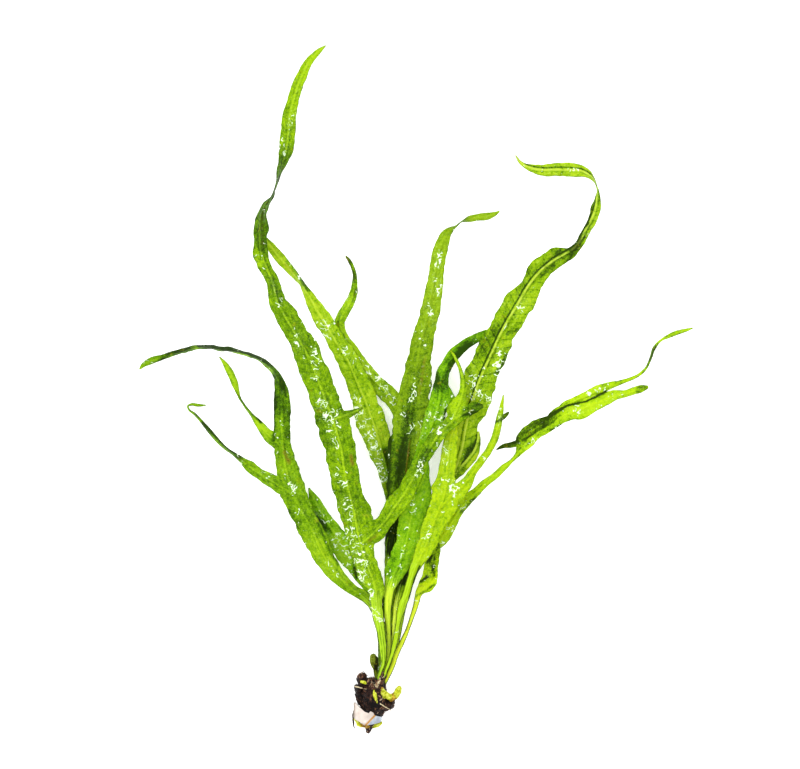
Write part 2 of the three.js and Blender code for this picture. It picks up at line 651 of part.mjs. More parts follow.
// Bark: a rounded outline with low waves, as x and y radius from the left and right columns
function barkOutline(clearance) {
  return ({ middle, left, right }) => {
    const points = [];
    for (let i = 0; i < RHIZOME_SIDES; i += 1) {
      const angle = (i / RHIZOME_SIDES) * Math.PI * 2;
      const wave = Math.sin(angle * 5 + middle.y * 1.3) + Math.sin(angle * 3 - middle.y * 2.1);
      const grown = clearance + BARK_BUMP * wave;
      points.push([(left + grown) * Math.cos(angle), (right + grown) * Math.sin(angle)]);
    }
    return points;
  };
}

// A round outline whose radius is the section's left column
function roundOutline({ left }) {
  const points = [];
  for (let i = 0; i < STUB_SIDES; i += 1) {
    const angle = (i / STUB_SIDES) * Math.PI * 2;
    points.push([left * Math.cos(angle), left * Math.sin(angle)]);
  }
  return points;
}

// The rhizome's thick creeping stem, from its crown down to its old end, as
// x, y, z, half width and half height
const RHIZOME_AXIS = [
  [2.0, 8.6, 4.4, 2.0, 4.0],
  [1.3, 6.2, 4.4, 2.3, 4.3],
  [-0.4, 4.0, 4.3, 3.6, 4.6],
  [-0.8, 1.2, 4.2, 4.7, 4.8],
  [-0.5, -1.4, 4.1, 4.4, 4.7],
  [-0.9, -3.9, 4.0, 3.0, 2.9],
  [-1.7, -6.4, 4.0, 2.4, 2.4],
  [-2.4, -8.7, 4.0, 1.4, 1.5],
  [-2.7, -9.8, 4.0, 0.6, 0.6],
];

// Round growths on the rhizome: the centre and the radii
const KNOBS = [
  { at: [-4.7, 6.2, 4.6], size: [1.5, 2.1, 2.2] },
  { at: [-5.2, 2.9, 3.8], size: [1.8, 1.6, 2.4] },
  { at: [3.2, -1.2, 3.6], size: [2.4, 2.3, 3.2] },
  { at: [-3.1, 5.0, 4.2], size: [1.9, 2.0, 3.2] },
];

// The pale side bud, and the cut stubs of old roots and leaf stalks, as stations
const SIDE_BUD = [
  [1.4, 2.6, 5.2, 1.0, 1.0],
  [3.2, 1.5, 5.6, 1.1, 1.1],
  [4.9, 1.3, 5.7, 1.2, 1.2],
  [6.3, 2.3, 5.6, 1.1, 1.0],
  [6.9, 3.7, 5.5, 0.7, 0.7],
  [7.0, 4.6, 5.4, 0.25, 0.25],
];
const STUBS = [
  [[-3.6, 5.2, 6.0, 0.8, 0.8], [-3.8, 5.9, 7.4, 0.7, 0.7], [-3.9, 6.1, 8.2, 0.5, 0.5]],
  [[-0.4, 0.5, 7.6, 0.5, 0.5], [-0.5, 1.8, 8.8, 0.45, 0.45], [-0.8, 3.1, 9.2, 0.2, 0.2]],
  [[-4.6, 4.4, 4.5, 0.6, 0.6], [-6.2, 4.6, 4.8, 0.5, 0.5], [-7.1, 4.7, 4.9, 0.3, 0.3]],
  [[1.9, -2.6, 4.2, 0.7, 0.7], [3.0, -3.3, 4.2, 0.5, 0.5], [3.8, -3.8, 4.1, 0.3, 0.3]],
];

// A plane face that keeps what lies on the side its direction points to
function keepBeyond(body, direction, point) {
  return body.trimByPlane(direction.toArray(), direction.dot(point));
}

function rhizomeSolid() {
  let body = sweep(RHIZOME_AXIS, barkOutline(0), RHIZOME_STEP);
  for (const { at, size } of KNOBS) {
    const knob = new THREE.SphereGeometry(1, KNOB_SIDES, KNOB_RINGS);
    knob.scale(...size);
    knob.translate(...at);
    body = body.add(solid(knob));
  }
  for (const stub of [SIDE_BUD, ...STUBS]) {
    body = body.add(sweep(stub, roundOutline, RHIZOME_STEP));
  }
  body = keepBeyond(body, CROWN_DIRECTION.clone().negate(), CROWN_POINT);
  return keepBeyond(body, UP, new THREE.Vector3(0, 0, 0));
}

// The pale strip folded round the rhizome's old end, as its outline seen from above
const STRIP_OUTLINE = [
  [-6.2, -0.9], [-7.0, -3.4], [-6.6, -6.0], [-3.6, -7.1], [0.9, -6.8], [1.6, -5.1], [0.2, -4.4], [-2.4, -3.4],
];

function stripSolid() {
  const outline = new THREE.Shape(STRIP_OUTLINE.map(([x, y]) => new THREE.Vector2(x, y)));
  const pad = new THREE.ExtrudeGeometry(outline, {
    depth: STRIP_HEIGHT - 2 * STRIP_ROUNDING,
    bevelEnabled: true,
    bevelThickness: STRIP_ROUNDING,
    bevelSize: STRIP_EDGE,
    bevelOffset: -STRIP_EDGE,
    bevelSegments: 2,
    curveSegments: 1,
  });
  pad.translate(0, 0, STRIP_ROUNDING + STRIP_LIFT);
  return solid(pad).subtract(sweep(RHIZOME_AXIS, barkOutline(STRIP_CLEARANCE), RHIZOME_STEP));
}

// Cut a frond's foot off square, a small gap above the crown
function rooted(body) {
  const foot = CROWN_POINT.clone().addScaledVector(CROWN_DIRECTION, CROWN_GAP);
  return keepBeyond(body, CROWN_DIRECTION, foot);
}

function piece(name, body, color, roughness) {
  const { numProp, vertProperties, triVerts } = body.getMesh();
  const geometry = new THREE.BufferGeometry();
  geometry.setAttribute('position', new THREE.BufferAttribute(new Float32Array(vertProperties), numProp));
  geometry.setIndex(new THREE.BufferAttribute(new Uint32Array(triVerts), 1));
  geometry.computeVertexNormals();
  const mesh = new THREE.Mesh(geometry, new THREE.MeshStandardMaterial({ color, roughness, metalness: 0 }));
  mesh.name = name;
  return mesh;
}

const plant = new THREE.Group();
plant.add(
  piece('rhizome', rhizomeSolid(), '#33221a', 0.85),
  piece('weight_strip', stripSolid(), '#ece3dc', 0.45),
  piece('crozier', rooted(frondSolid(CROZIER)), '#6f8a1d', 0.4),
  piece('frond_tall_left', rooted(frondSolid(TALL_LEFT)), '#6fae12', 0.3),
  piece('frond_inner_left', rooted(frondSolid(INNER_LEFT)), '#86c016', 0.3),
  piece('frond_slim_left', rooted(frondSolid(SLIM_LEFT)), '#7db51a', 0.3),
  piece('frond_centre', rooted(frondSolid(CENTRE)), '#6b9a12', 0.3),
  piece('frond_forked', rooted(frondSolid(FORKED)), '#78b812', 0.3),
  piece('frond_front', rooted(frondSolid(FRONT)), '#a6dc12', 0.3),
  piece('frond_tall_right', rooted(frondSolid(TALL_RIGHT)), '#82b814', 0.3),
  piece('frond_low_right', rooted(frondSolid(LOW_RIGHT)), '#8cc016', 0.3),
  piece('frond_low_left', rooted(frondSolid(LOW_LEFT)), '#6fae12', 0.3),
  piece('frond_under_left', rooted(frondSolid(UNDER_LEFT)), '#7ca018', 0.3),
  piece('frond_young', rooted(frondSolid(YOUNG)), '#b8dc1c', 0.3),
);

export default plant;
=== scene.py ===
import math

import bpy
import numpy as np
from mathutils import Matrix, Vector, noise


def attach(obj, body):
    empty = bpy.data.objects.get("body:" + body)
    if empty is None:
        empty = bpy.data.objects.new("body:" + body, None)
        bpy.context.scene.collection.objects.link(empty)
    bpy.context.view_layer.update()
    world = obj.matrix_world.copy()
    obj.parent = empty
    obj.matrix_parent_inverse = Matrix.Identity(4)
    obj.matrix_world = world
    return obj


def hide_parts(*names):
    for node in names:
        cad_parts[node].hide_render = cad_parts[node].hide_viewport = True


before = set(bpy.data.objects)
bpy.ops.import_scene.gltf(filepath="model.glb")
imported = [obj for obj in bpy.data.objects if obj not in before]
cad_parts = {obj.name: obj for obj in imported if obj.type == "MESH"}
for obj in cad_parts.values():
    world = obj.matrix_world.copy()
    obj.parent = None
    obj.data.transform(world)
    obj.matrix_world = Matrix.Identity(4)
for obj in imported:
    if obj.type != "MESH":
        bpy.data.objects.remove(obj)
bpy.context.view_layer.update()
MM = 0.001

# Rhizome
# The plant's creeping stem: dark, woody and knobbly, with cut stubs of old roots and leaf
# stalks, a pale side bud, and reddish scaly tissue at the crown that every frond grows out of.

# Each growth is a run of x, y, z, half width and half height, in millimetres
RHIZOME_GROWTHS = [
    [(2.0, 8.0, 4.6, 1.3, 3.2), (1.3, 6.2, 4.5, 1.7, 3.7), (0.2, 4.4, 4.4, 2.7, 4.2),
     (-0.8, 2.0, 4.2, 3.9, 4.5), (-0.9, -0.6, 4.2, 4.1, 4.5), (-0.7, -2.6, 4.0, 3.2, 3.6),
     (-1.2, -4.4, 4.0, 2.3, 2.6), (-2.1, -7.0, 4.0, 1.5, 1.9), (-2.5, -8.6, 4.0, 0.85, 1.1),
     (-2.4, -9.4, 4.0, 0.5, 0.7)],
    [(-4.4, 5.3, 5.0, 1.5, 2.2), (-4.4, 6.7, 5.4, 1.6, 1.9), (-4.2, 7.5, 5.6, 1.2, 1.3)],
    [(-5.2, 3.9, 4.2, 1.5, 2.0), (-5.1, 2.2, 3.9, 1.4, 2.2), (-4.4, 0.2, 4.0, 1.7, 2.4)],
    [(2.2, -1.6, 4.0, 1.9, 2.8), (3.9, -1.0, 4.1, 1.5, 2.3), (4.4, 0.2, 4.3, 1.1, 1.7)],
    [(-3.0, 5.3, 5.0, 1.5, 2.4), (-1.4, 5.9, 5.0, 1.3, 2.6)],
]
RHIZOME_BUD = [
    (1.2, 4.2, 7.2, 0.55, 0.5), (1.9, 3.0, 7.3, 0.75, 0.7), (2.7, 2.1, 7.1, 1.05, 0.9),
    (3.7, 1.4, 6.6, 0.95, 0.9), (4.7, 1.2, 6.2, 1.1, 1.05), (5.7, 1.6, 6.0, 1.15, 1.1),
    (6.3, 2.6, 5.8, 1.15, 1.0), (6.7, 3.6, 5.7, 0.95, 0.8), (6.9, 4.3, 5.6, 0.45, 0.4),
]
RHIZOME_SLIVERS = {
    "splinter": [(-0.7, 3.3, 8.3, 0.2, 0.2), (-0.5, 2.2, 8.6, 0.45, 0.35), (-0.2, 1.0, 8.6, 0.4, 0.3),
                 (0.2, -0.3, 8.3, 0.15, 0.15)],
    "rootlet": [(-6.7, 4.5, 5.4, 0.2, 0.2), (-5.0, 4.1, 6.9, 0.2, 0.25), (-3.0, 3.7, 7.8, 0.17, 0.2)],
    "second_rootlet": [(1.2, -0.7, 8.0, 0.17, 0.2), (2.7, -1.7, 7.2, 0.2, 0.25),
                       (4.4, -2.7, 5.8, 0.13, 0.15)],
    "spot": [(-4.5, 5.9, 7.0, 0.3, 0.3), (-3.4, 5.6, 7.2, 0.42, 0.3)],
    "root_by_strip": [(-6.95, -3.0, 2.6, 0.25, 0.5), (-7.0, -5.0, 2.5, 0.42, 0.5),
                      (-6.9, -6.8, 2.4, 0.35, 0.45), (-6.6, -8.4, 2.2, 0.13, 0.2)],
    "left_stub": [(-5.9, -5.6, 3.4, 0.8, 0.9), (-5.2, -7.1, 3.4, 0.75, 0.8), (-4.7, -7.7, 3.4, 0.4, 0.5)],
    "right_stub": [(1.3, -6.6, 3.8, 0.6, 0.8), (0.2, -7.1, 3.8, 0.85, 0.9), (-0.9, -7.6, 3.8, 0.65, 0.8)],
    "low_stub": [(-4.4, -7.2, 3.9, 0.6, 0.7), (-3.4, -7.5, 3.9, 0.6, 0.7), (-2.6, -7.3, 5.2, 0.6, 0.5)],
}
RHIZOME_HEIGHT = 9.3
RHIZOME_VOXEL = 0.13
LUMP_SPACING = 0.3
LUMP_SIDES = 16
LUMP_RINGS = 9
BARK_RELIEF = 0.34
KNOT_SIZE = 1.9
SCAB_SIZE = 0.75

# Brush strokes on the bark: radius, strength, then the x, y places along the stroke
BARK_DRY = [(0.7, 0.75, (1.1, 7.6), (0.4, 5.2)), (0.5, 0.5, (-1.4, 5.9), (0.2, 4.2))]
BARK_AMBER = [(0.5, 0.7, (-3.4, -8.0), (-2.2, -7.6))]
# Where the bark, and the scales on it, are darker
BARK_DARKER = [(2.1, 0.9, (-4.6, 2.6), (-2.2, -0.8)), (1.4, 0.7, (3.2, 0.2)), (1.2, 0.5, (-5.2, 4.6)),
             (1.3, 0.8, (-6, 5.6), (-6.3, 1))]


def rhizome_lumps(growths):
    """Balls of x, y, z, half width and half height set closely along each growth."""
    lumps = []
    for growth in growths:
        rows = np.array(growth)
        run = np.concatenate([[0], np.cumsum(np.linalg.norm(np.diff(rows[:, :3], axis=0), axis=1))])
        for place in np.arange(0, run[-1] + LUMP_SPACING, LUMP_SPACING):
            lumps.append([np.interp(place, run, rows[:, column]) for column in range(5)])
    return lumps


def mesh_of(name, points, faces):
    """A mesh from points in millimetres."""
    mesh = bpy.data.meshes.new(name)
    mesh.from_pydata(np.array(points) * MM, [], faces)
    return mesh


def added(name, data):
    """A new object in the scene, which holds a mesh, a lamp or a camera."""
    thing = bpy.data.objects.new(name, data)
    bpy.context.scene.collection.objects.link(thing)
    return thing


def melted_skin(name, lumps):
    """One skin over all the lumps, made by a voxel remesh."""
    points, faces = [], []
    for x, y, z, wide, high in lumps:
        first = len(points)
        for ring in range(LUMP_RINGS + 1):
            tilt = math.pi * ring / LUMP_RINGS
            for side in range(LUMP_SIDES):
                turn = 2 * math.pi * side / LUMP_SIDES
                points.append((x + wide * math.sin(tilt) * math.cos(turn),
                               y + wide * math.sin(tilt) * math.sin(turn),
                               z + high * math.cos(tilt)))
        for ring in range(LUMP_RINGS):
            for side in range(LUMP_SIDES):
                here = first + ring * LUMP_SIDES + side
                beside = first + ring * LUMP_SIDES + (side + 1) % LUMP_SIDES
                faces.append((here, here + LUMP_SIDES, beside + LUMP_SIDES, beside))
    thing = added(name, mesh_of(name, points, faces))
    remesh = thing.modifiers.new("skin", "REMESH")
    remesh.mode = "VOXEL"
    remesh.voxel_size = RHIZOME_VOXEL * MM
    relax = thing.modifiers.new("relax", "SMOOTH")
    relax.iterations = 3
    depsgraph = bpy.context.evaluated_depsgraph_get()
    skin = bpy.data.meshes.new_from_object(thing.evaluated_get(depsgraph))
    thing.modifiers.clear()
    thing.data = skin
    skin.name = name
    skin.shade_smooth()
    return thing


def mesh_points(mesh):
    """A mesh's points in millimetres."""
    flat = np.empty(len(mesh.vertices) * 3)
    mesh.vertices.foreach_get("co", flat)
    return flat.reshape(-1, 3) / MM


def mesh_normals(mesh):
    """The way out of a mesh's skin at each of its points."""
    flat = np.empty(len(mesh.vertices) * 3)
    mesh.vertex_normals.foreach_get("vector", flat)
    return flat.reshape(-1, 3)


def rough_field(points, size, octaves=3):
    """Fractal noise of the given feature size at each point, about -1 to 1."""
    return np.array([noise.fractal(Vector(point / size), 1.0, 2.0, octaves) for point in points])


def part_of(points, growth):
    """1 for the points that lie on a growth's own lumps, 0 beyond them."""
    nearest = np.full(len(points), 9.0)
    for x, y, z, wide, high in rhizome_lumps([growth]):
        nearest = np.minimum(nearest, np.linalg.norm((points - (x, y, z)) / (wide, wide, high), axis=1))
    return np.clip((1.5 - nearest) / 0.35, 0, 1)


def touch(points, strokes):
    """How strongly a set of brush strokes, each of radius, strength and x, y places, reaches each point."""
    total = np.zeros(len(points))
    for radius, strength, *places in strokes:
        ends = places if len(places) > 1 else places * 2
        nearest = np.full(len(points), 1e9)
        for start, end in zip(np.array(ends[:-1]), np.array(ends[1:])):
            way = end - start
            share = np.clip((points[:, :2] - start) @ way / max(way @ way, 1e-9), 0, 1)
            gone = np.linalg.norm(points[:, :2] - start - share[:, None] * way, axis=1)
            nearest = np.minimum(nearest, gone)
        total += strength * np.exp(-(nearest / radius) ** 2)
    return total


def paint(mesh, name, values):
    """Keep one number for each point of a mesh, for its material to read."""
    layer = mesh.attributes.new(name, "FLOAT", "POINT")
    layer.data.foreach_set("value", np.asarray(values, dtype=np.float32))


class Tone:
    """A value, colour or vector in a material. Sums on values are written as ordinary arithmetic."""

    def __init__(self, finish, socket):
        self.finish = finish
        self.socket = socket

    def sum(self, operation, *others):
        inputs = dict(enumerate((self, *others)))
        return self.finish.node("ShaderNodeMath", {"operation": operation}, inputs)

    def __add__(self, other):
        return self.sum("ADD", other)

    def __mul__(self, other):
        return self.sum("MULTIPLY", other)

    def __sub__(self, other):
        return self.sum("SUBTRACT", other)

    def __rsub__(self, other):
        return self.finish.node("ShaderNodeMath", {"operation": "SUBTRACT"}, {0: other, 1: self})

    def __abs__(self):
        return self.sum("ABSOLUTE")

    __radd__ = __add__
    __rmul__ = __mul__

    def ease(self, low, high):
        """0 below low and 1 above high, with a soft change between."""
        return self.finish.node("ShaderNodeMapRange", {"interpolation_type": "SMOOTHSTEP"},
                                {"Value": self, "From Min": low, "From Max": high})

    def clip(self):
        return self.finish.node("ShaderNodeClamp", {}, {"Value": self})


class Finish:
    """A material as it is built up, with its tones in millimetres of the plant."""

    def __init__(self, name):
        self.material = bpy.data.materials.new(name)
        self.material.use_nodes = True
        self.tree = self.material.node_tree
        self.tree.nodes.clear()
        self.place = self.node("ShaderNodeVectorMath", {"operation": "SCALE"},
                               {0: self.node("ShaderNodeTexCoord", {}, {}, "Object"), "Scale": 1 / MM})

    def node(self, kind, settings, inputs, output=0):
        """Any node: its settings first, then the values or links of its sockets."""
        made = self.tree.nodes.new(kind)
        for key, value in settings.items():
            if key == "stops":
                # A new ramp has two stops, which become its ends
                elements = made.color_ramp.elements
                elements[1].position = value[-1][0]
                elements[0].position = value[0][0]
                for spot, _ in value[1:-1]:
                    elements.new(spot)
                for element, (_, colour) in zip(elements, value):
                    element.color = colour
            else:
                setattr(made, key, value)
        for key, value in inputs.items():
            if isinstance(value, Tone):
                self.tree.links.new(value.socket, made.inputs[key])
            else:
                made.inputs[key].default_value = value
        return None if output is None else Tone(self, made.outputs[output])

    def painted(self, name):
        return self.node("ShaderNodeAttribute", {"attribute_name": name}, {}, "Fac")

    def cloud(self, size, detail=3, place=None, distortion=0.0, rough=0.55):
        """Noise with features of the given size in millimetres, 0 to 1."""
        return self.node("ShaderNodeTexNoise", {},
                         {"Vector": place or self.place, "Scale": 1 / size, "Detail": detail,
                          "Roughness": rough, "Distortion": distortion})

    def blend(self, share, under, over):
        return self.node("ShaderNodeMix", {"data_type": "RGBA"}, {0: share, 6: under, 7: over}, 2)

    def ramp(self, tone, *stops):
        return self.node("ShaderNodeValToRGB", {"stops": stops}, {"Fac": tone})

    def close(self, colour, roughness, height, relief, coat=0.0, coat_roughness=0.1, gloss=0.5, glow=0.0):
        """The finished surface, with height as a bump that is relief millimetres deep."""
        bump = self.node("ShaderNodeBump", {}, {"Strength": 1.0, "Distance": relief * MM, "Height": height})
        surface = self.node("ShaderNodeBsdfPrincipled", {},
                            {"Base Color": colour, "Roughness": roughness, "Normal": bump,
                             "Coat Weight": coat, "Coat Roughness": coat_roughness,
                             "Specular IOR Level": gloss, "Emission Color": (1, 1, 1, 1),
                             "Emission Strength": glow})
        self.node("ShaderNodeOutputMaterial", {}, {"Surface": surface}, None)
        return self.material


def rgb(red, green, blue):
    """A colour from a screen's 0 to 255 values."""
    def light(level):
        level /= 255
        return level / 12.92 if level <= 0.04045 else ((level + 0.055) / 1.055) ** 2.4
    return (light(red), light(green), light(blue), 1.0)


side_growths = (RHIZOME_BUD, *RHIZOME_SLIVERS.values())
rhizome = melted_skin("rhizome_bark", rhizome_lumps([*RHIZOME_GROWTHS, *side_growths]))
bark_points = mesh_points(rhizome.data)
bark_normals = mesh_normals(rhizome.data)
fresh = np.max([part_of(bark_points, growth) for growth in side_growths], axis=0)
knots = rough_field(bark_points * (1, 1.6, 1), KNOT_SIZE)
scabs = np.abs(rough_field(bark_points, SCAB_SIZE))
relief = BARK_RELIEF * (knots + 0.8 * scabs - 0.45) * (1 - 0.6 * fresh)
bark_points = bark_points + bark_normals * relief[:, None]
bark_points[:, 2] = np.clip(bark_points[:, 2], 0.0, RHIZOME_HEIGHT)
rhizome.data.vertices.foreach_set("co", (bark_points * MM).ravel())

on_bud = part_of(bark_points, RHIZOME_BUD)
on = {name: part_of(bark_points, growth) for name, growth in RHIZOME_SLIVERS.items()}
ripening = np.clip((bark_points[:, 0] - 4.9) / 1.4 + (bark_points[:, 1] - 1.5) / 2.5, 0, 1)
damp = np.minimum(touch(bark_points, BARK_DARKER), 1)
paint(rhizome.data, "lime", np.max([
    on_bud * ripening, on["splinter"], on["spot"], part_of(bark_points, RHIZOME_BUD[1:4]) * 0.75,
    on["left_stub"], on["right_stub"] * 0.8], axis=0))
paint(rhizome.data, "amber", np.max([
    on_bud * (1 - 0.8 * ripening), on["spot"] * 0.6, on["low_stub"],
    touch(bark_points, BARK_AMBER)], axis=0))
paint(rhizome.data, "tan", np.max([
    on["rootlet"] * 1.1, on["second_rootlet"] * 1.1,
    touch(bark_points, BARK_DRY) * (bark_points[:, 2] > 5)], axis=0))
# Painted highlight on the bark's ridges and painted shade in its hollows, set from the relief
paint(rhizome.data, "ridge", np.clip(0.5 + relief / (1.6 * BARK_RELIEF), 0, 1))
paint(rhizome.data, "damp", damp)

bark = Finish("bark")
crust = bark.cloud(0.8, 5, rough=0.7)
speck = bark.cloud(0.24)
patchy = bark.cloud(3.0, 2)
# The crust's browns, lifted by the painted ridge highlights and dropped by the painted shade in the hollows
bark_colour = bark.ramp(crust * 0.5 + speck * 0.3 + bark.painted("ridge") * 0.4 + patchy * 0.25 - 0.2
                        - bark.painted("damp") * 0.16,
                        (0.32, rgb(7, 2, 2)), (0.5, rgb(30, 14, 10)), (0.62, rgb(74, 46, 32)),
                        (0.74, rgb(120, 88, 62)), (0.9, rgb(170, 146, 112)))
# Each kind of patch: how the crust breaks it up, how soft its edge is, what mottles it, and its tones
for patch, breakup, full, mottle, *tones in (
        ("tan", 1.3, 0.8, speck,
         (0.35, rgb(128, 100, 66)), (0.5, rgb(190, 172, 130)), (0.65, rgb(222, 214, 184))),
        ("amber", 1.3, 0.8, crust,
         (0.35, rgb(74, 44, 8)), (0.5, rgb(150, 112, 14)), (0.65, rgb(190, 168, 40))),
        ("lime", 1.4, 0.75, crust,
         (0.35, rgb(120, 128, 14)), (0.5, rgb(176, 184, 26)), (0.68, rgb(212, 214, 110)))):
    share = (bark.painted(patch) * (0.3 + crust * breakup)).ease(0.3, full)
    bark_colour = bark.blend(share, bark_colour, bark.ramp(mottle, *tones))
bark_finish = bark.close(bark_colour, 0.42 + speck * 0.35, crust + speck * 0.5, 0.3,
                         coat=0.06, coat_roughness=0.12, gloss=0.2)
rhizome.data.materials.append(bark_finish)
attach(rhizome, "root")
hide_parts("rhizome")

# Rhizome scales
# The dry brown scales that clothe a fern's rhizome: thin, pointed, curling flakes, most of them
# dark and a few worn pale, each growing out of the bark towards the crown.

SCALE_COUNT = 1500
SCALE_SEED = 5
SCALE_LENGTHS = (0.6, 1.5)
SCALE_WIDTHS = (0.08, 0.22)
SCALE_LIFTS = (0.0, 0.45)
SCALE_THICKNESS = 0.09
SCALE_ROOT = 0.03
# A scale's rings: how far along it each one is, and the share of its width there
SCALE_RINGS = [(0.0, 0.7), (0.3, 1.0), (0.65, 0.7), (1.0, 0.08)]
# The least x, y and z that a scale may reach: past the old end of the bark, and just off the table
SCALE_BOUNDS = (-9.0, -9.8, 0.05)
# Where the strip covers the bark, which is bare there: its lowest y, and places along its upper edge
STRIP_COVER_LOW = -7.4
STRIP_COVER_EDGE = [(-6.4, 0.4), (-3.6, -2.4), (-0.3, -3.7), (1.8, -4.2)]

scatter = np.random.default_rng(SCALE_SEED)
scale_points, scale_faces, scale_tints = [], [], []
for choice in scatter.integers(0, len(bark_points), SCALE_COUNT):
    root, out = bark_points[choice], bark_normals[choice]
    across = scatter.normal(0, 0.9)
    length = scatter.uniform(*SCALE_LENGTHS)
    width = scatter.uniform(*SCALE_WIDTHS)
    lift = scatter.uniform(*SCALE_LIFTS)
    tint = scatter.uniform(0, 1) ** 2.2 * (1 - 0.75 * damp[choice])
    # Fresh tissue, the underside and the bark under the strip bear no scales
    under_strip = STRIP_COVER_LOW < root[1] < np.interp(root[0], *zip(*STRIP_COVER_EDGE))
    if fresh[choice] > 0.2 or root[2] < 0.8 or out[2] < -0.3 or under_strip:
        continue
    way = np.array((across, 1.0, 0.0)) - out * (out @ (across, 1.0, 0.0))
    way /= np.linalg.norm(way)
    side = np.cross(out, way)
    first = len(scale_points)
    for share, fullness in SCALE_RINGS:
        middle = root + way * length * share + out * (lift * length * share ** 2 - SCALE_ROOT)
        reach = side * width * fullness
        for corner in (-reach, out * SCALE_THICKNESS * fullness, reach):
            scale_points.append(np.maximum(middle + corner, SCALE_BOUNDS))
            scale_tints.append(tint)
    for ring in range(len(SCALE_RINGS) - 1):
        for corner in range(3):
            here, beside = first + ring * 3 + corner, first + ring * 3 + (corner + 1) % 3
            scale_faces.append((here, here + 3, beside + 3, beside))
    last = len(scale_points) - 1
    scale_faces.append((first, first + 1, first + 2))
    scale_faces.append((last, last - 1, last - 2))
scale_mesh = mesh_of("rhizome_scales", scale_points, scale_faces)
paint(scale_mesh, "tint", scale_tints)
husk = Finish("scale_husk")
husk_grain = husk.cloud(0.3)
husk_colour = husk.ramp(husk.painted("tint") * 0.8 + husk_grain * 0.35, (0.16, rgb(9, 3, 2)),
                        (0.4, rgb(58, 32, 22)), (0.7, rgb(116, 80, 54)), (1.0, rgb(196, 176, 144)))
scale_mesh.materials.append(husk.close(husk_colour, 0.45 + husk_grain * 0.3, husk_grain, 0.05, gloss=0.25))
scales = added("rhizome_scales", scale_mesh)
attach(scales, "root")
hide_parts("rhizome")

# Weight strip
# A soft pale strip, folded round the stem's old end to weigh the plant down. It is a thin
# pliable sheet with a diagonal crease, and it grips the stem by its own stiffness.

STRIP_TURNS = 96
STRIP_ROWS = 22
STRIP_THICKNESS = 0.34
STRIP_CENTRE = (-2.6, 4.35)
STRIP_RADII = (4.3, 4.2)
STRIP_SAG = 0.16
STRIP_SAG_SIZE = 1.9
STRIP_EDGE_LIFT = 0.22
STRIP_LOWEST = 0.06
STRIP_UPPER = [(-7.0, -0.6), (-6.4, -0.3), (-5.4, -1.4), (-3.6, -3.0), (-2.3, -3.5), (-1.8, -2.9),
               (-1.0, -3.3), (-0.5, -4.2), (1.8, -4.8)]
STRIP_LOWER = [(-7.0, -4.4), (-6.6, -5.4), (-4.8, -6.2), (-3.6, -7.2), (-1.5, -6.9), (0.9, -6.4),
               (1.8, -5.6)]
# Painted shade along the strip's left edge, and darker brown along part of its lower edge
STRIP_EDGE_SHADE_AND_BROWN = [(0.5, 1.3, (-6.9, -0.4), (-6.9, -6.0)), (0.5, 0.5, (-5.4, -6.8), (-3.4, -7.2))]
CREASE_FOOT = (-2.1, -5.9)
CREASE_SLOPE = 0.96
CREASE_WIDTH = 0.28
CREASE_DEPTH = 0.3


def past_crease(x, y):
    """How far to the right of the strip's diagonal crease a place lies, straight across the stem."""
    return (x - CREASE_FOOT[0]) - CREASE_SLOPE * (y - CREASE_FOOT[1])


def strip_skin(lift):
    """One face of the strip, as rows of points from its upper edge to its lower, round the stem."""
    skin = []
    for turn in np.linspace(0, 2 * math.pi, STRIP_TURNS, endpoint=False):
        squared = 1 - 0.1 * math.sin(2 * turn) ** 2
        x = STRIP_CENTRE[0] + (STRIP_RADII[0] - lift) * math.cos(turn) * squared
        z = STRIP_CENTRE[1] + (STRIP_RADII[1] - lift) * math.sin(turn) * squared
        on_top = z > STRIP_CENTRE[1]
        upper = np.interp(x, *zip(*STRIP_UPPER))
        lower = np.interp(x, *zip(*STRIP_LOWER))
        for share in np.linspace(0, 1, STRIP_ROWS):
            y = upper + (lower - upper) * share
            spot = Vector((x / STRIP_SAG_SIZE, y / STRIP_SAG_SIZE, z / STRIP_SAG_SIZE))
            sag = STRIP_SAG * noise.noise(spot)
            crease = CREASE_DEPTH * math.exp(-(past_crease(x, y) / CREASE_WIDTH) ** 2) * on_top
            edge_lift = STRIP_EDGE_LIFT * math.cos(math.pi * share) ** 2 * on_top
            skin.append((x, y, max(z + sag - crease + edge_lift, STRIP_LOWEST + lift)))
    return skin


outer, inner = strip_skin(0.0), strip_skin(STRIP_THICKNESS)
inside = STRIP_TURNS * STRIP_ROWS
strip_faces = []
for turn in range(STRIP_TURNS):
    here, beside = turn * STRIP_ROWS, (turn + 1) % STRIP_TURNS * STRIP_ROWS
    for row in range(STRIP_ROWS - 1):
        strip_faces.append((here + row, here + row + 1, beside + row + 1, beside + row))
        strip_faces.append((inside + here + row, inside + beside + row, inside + beside + row + 1,
                            inside + here + row + 1))
    for row in (0, STRIP_ROWS - 1):
        rim = (here + row, beside + row, inside + beside + row, inside + here + row)
        strip_faces.append(rim if row == 0 else rim[::-1])
strip_mesh = mesh_of("weight_strip_sheet", outer + inner, strip_faces)
strip_mesh.shade_smooth()
strip = added("weight_strip_sheet", strip_mesh)
strip_points = mesh_points(strip_mesh)
off_crease = past_crease(strip_points[:, 0], strip_points[:, 1])
paint(strip_mesh, "fold", np.exp(-(off_crease / 0.32) ** 2))
# Painted shade, bluish grey, on the face past the crease
paint(strip_mesh, "cool", 1 / (1 + np.exp((0.3 - off_crease) / 0.1)))
# Painted shade on the strip's left edge, and darker brown on part of its lower edge
paint(strip_mesh, "soil", touch(strip_points, STRIP_EDGE_SHADE_AND_BROWN))

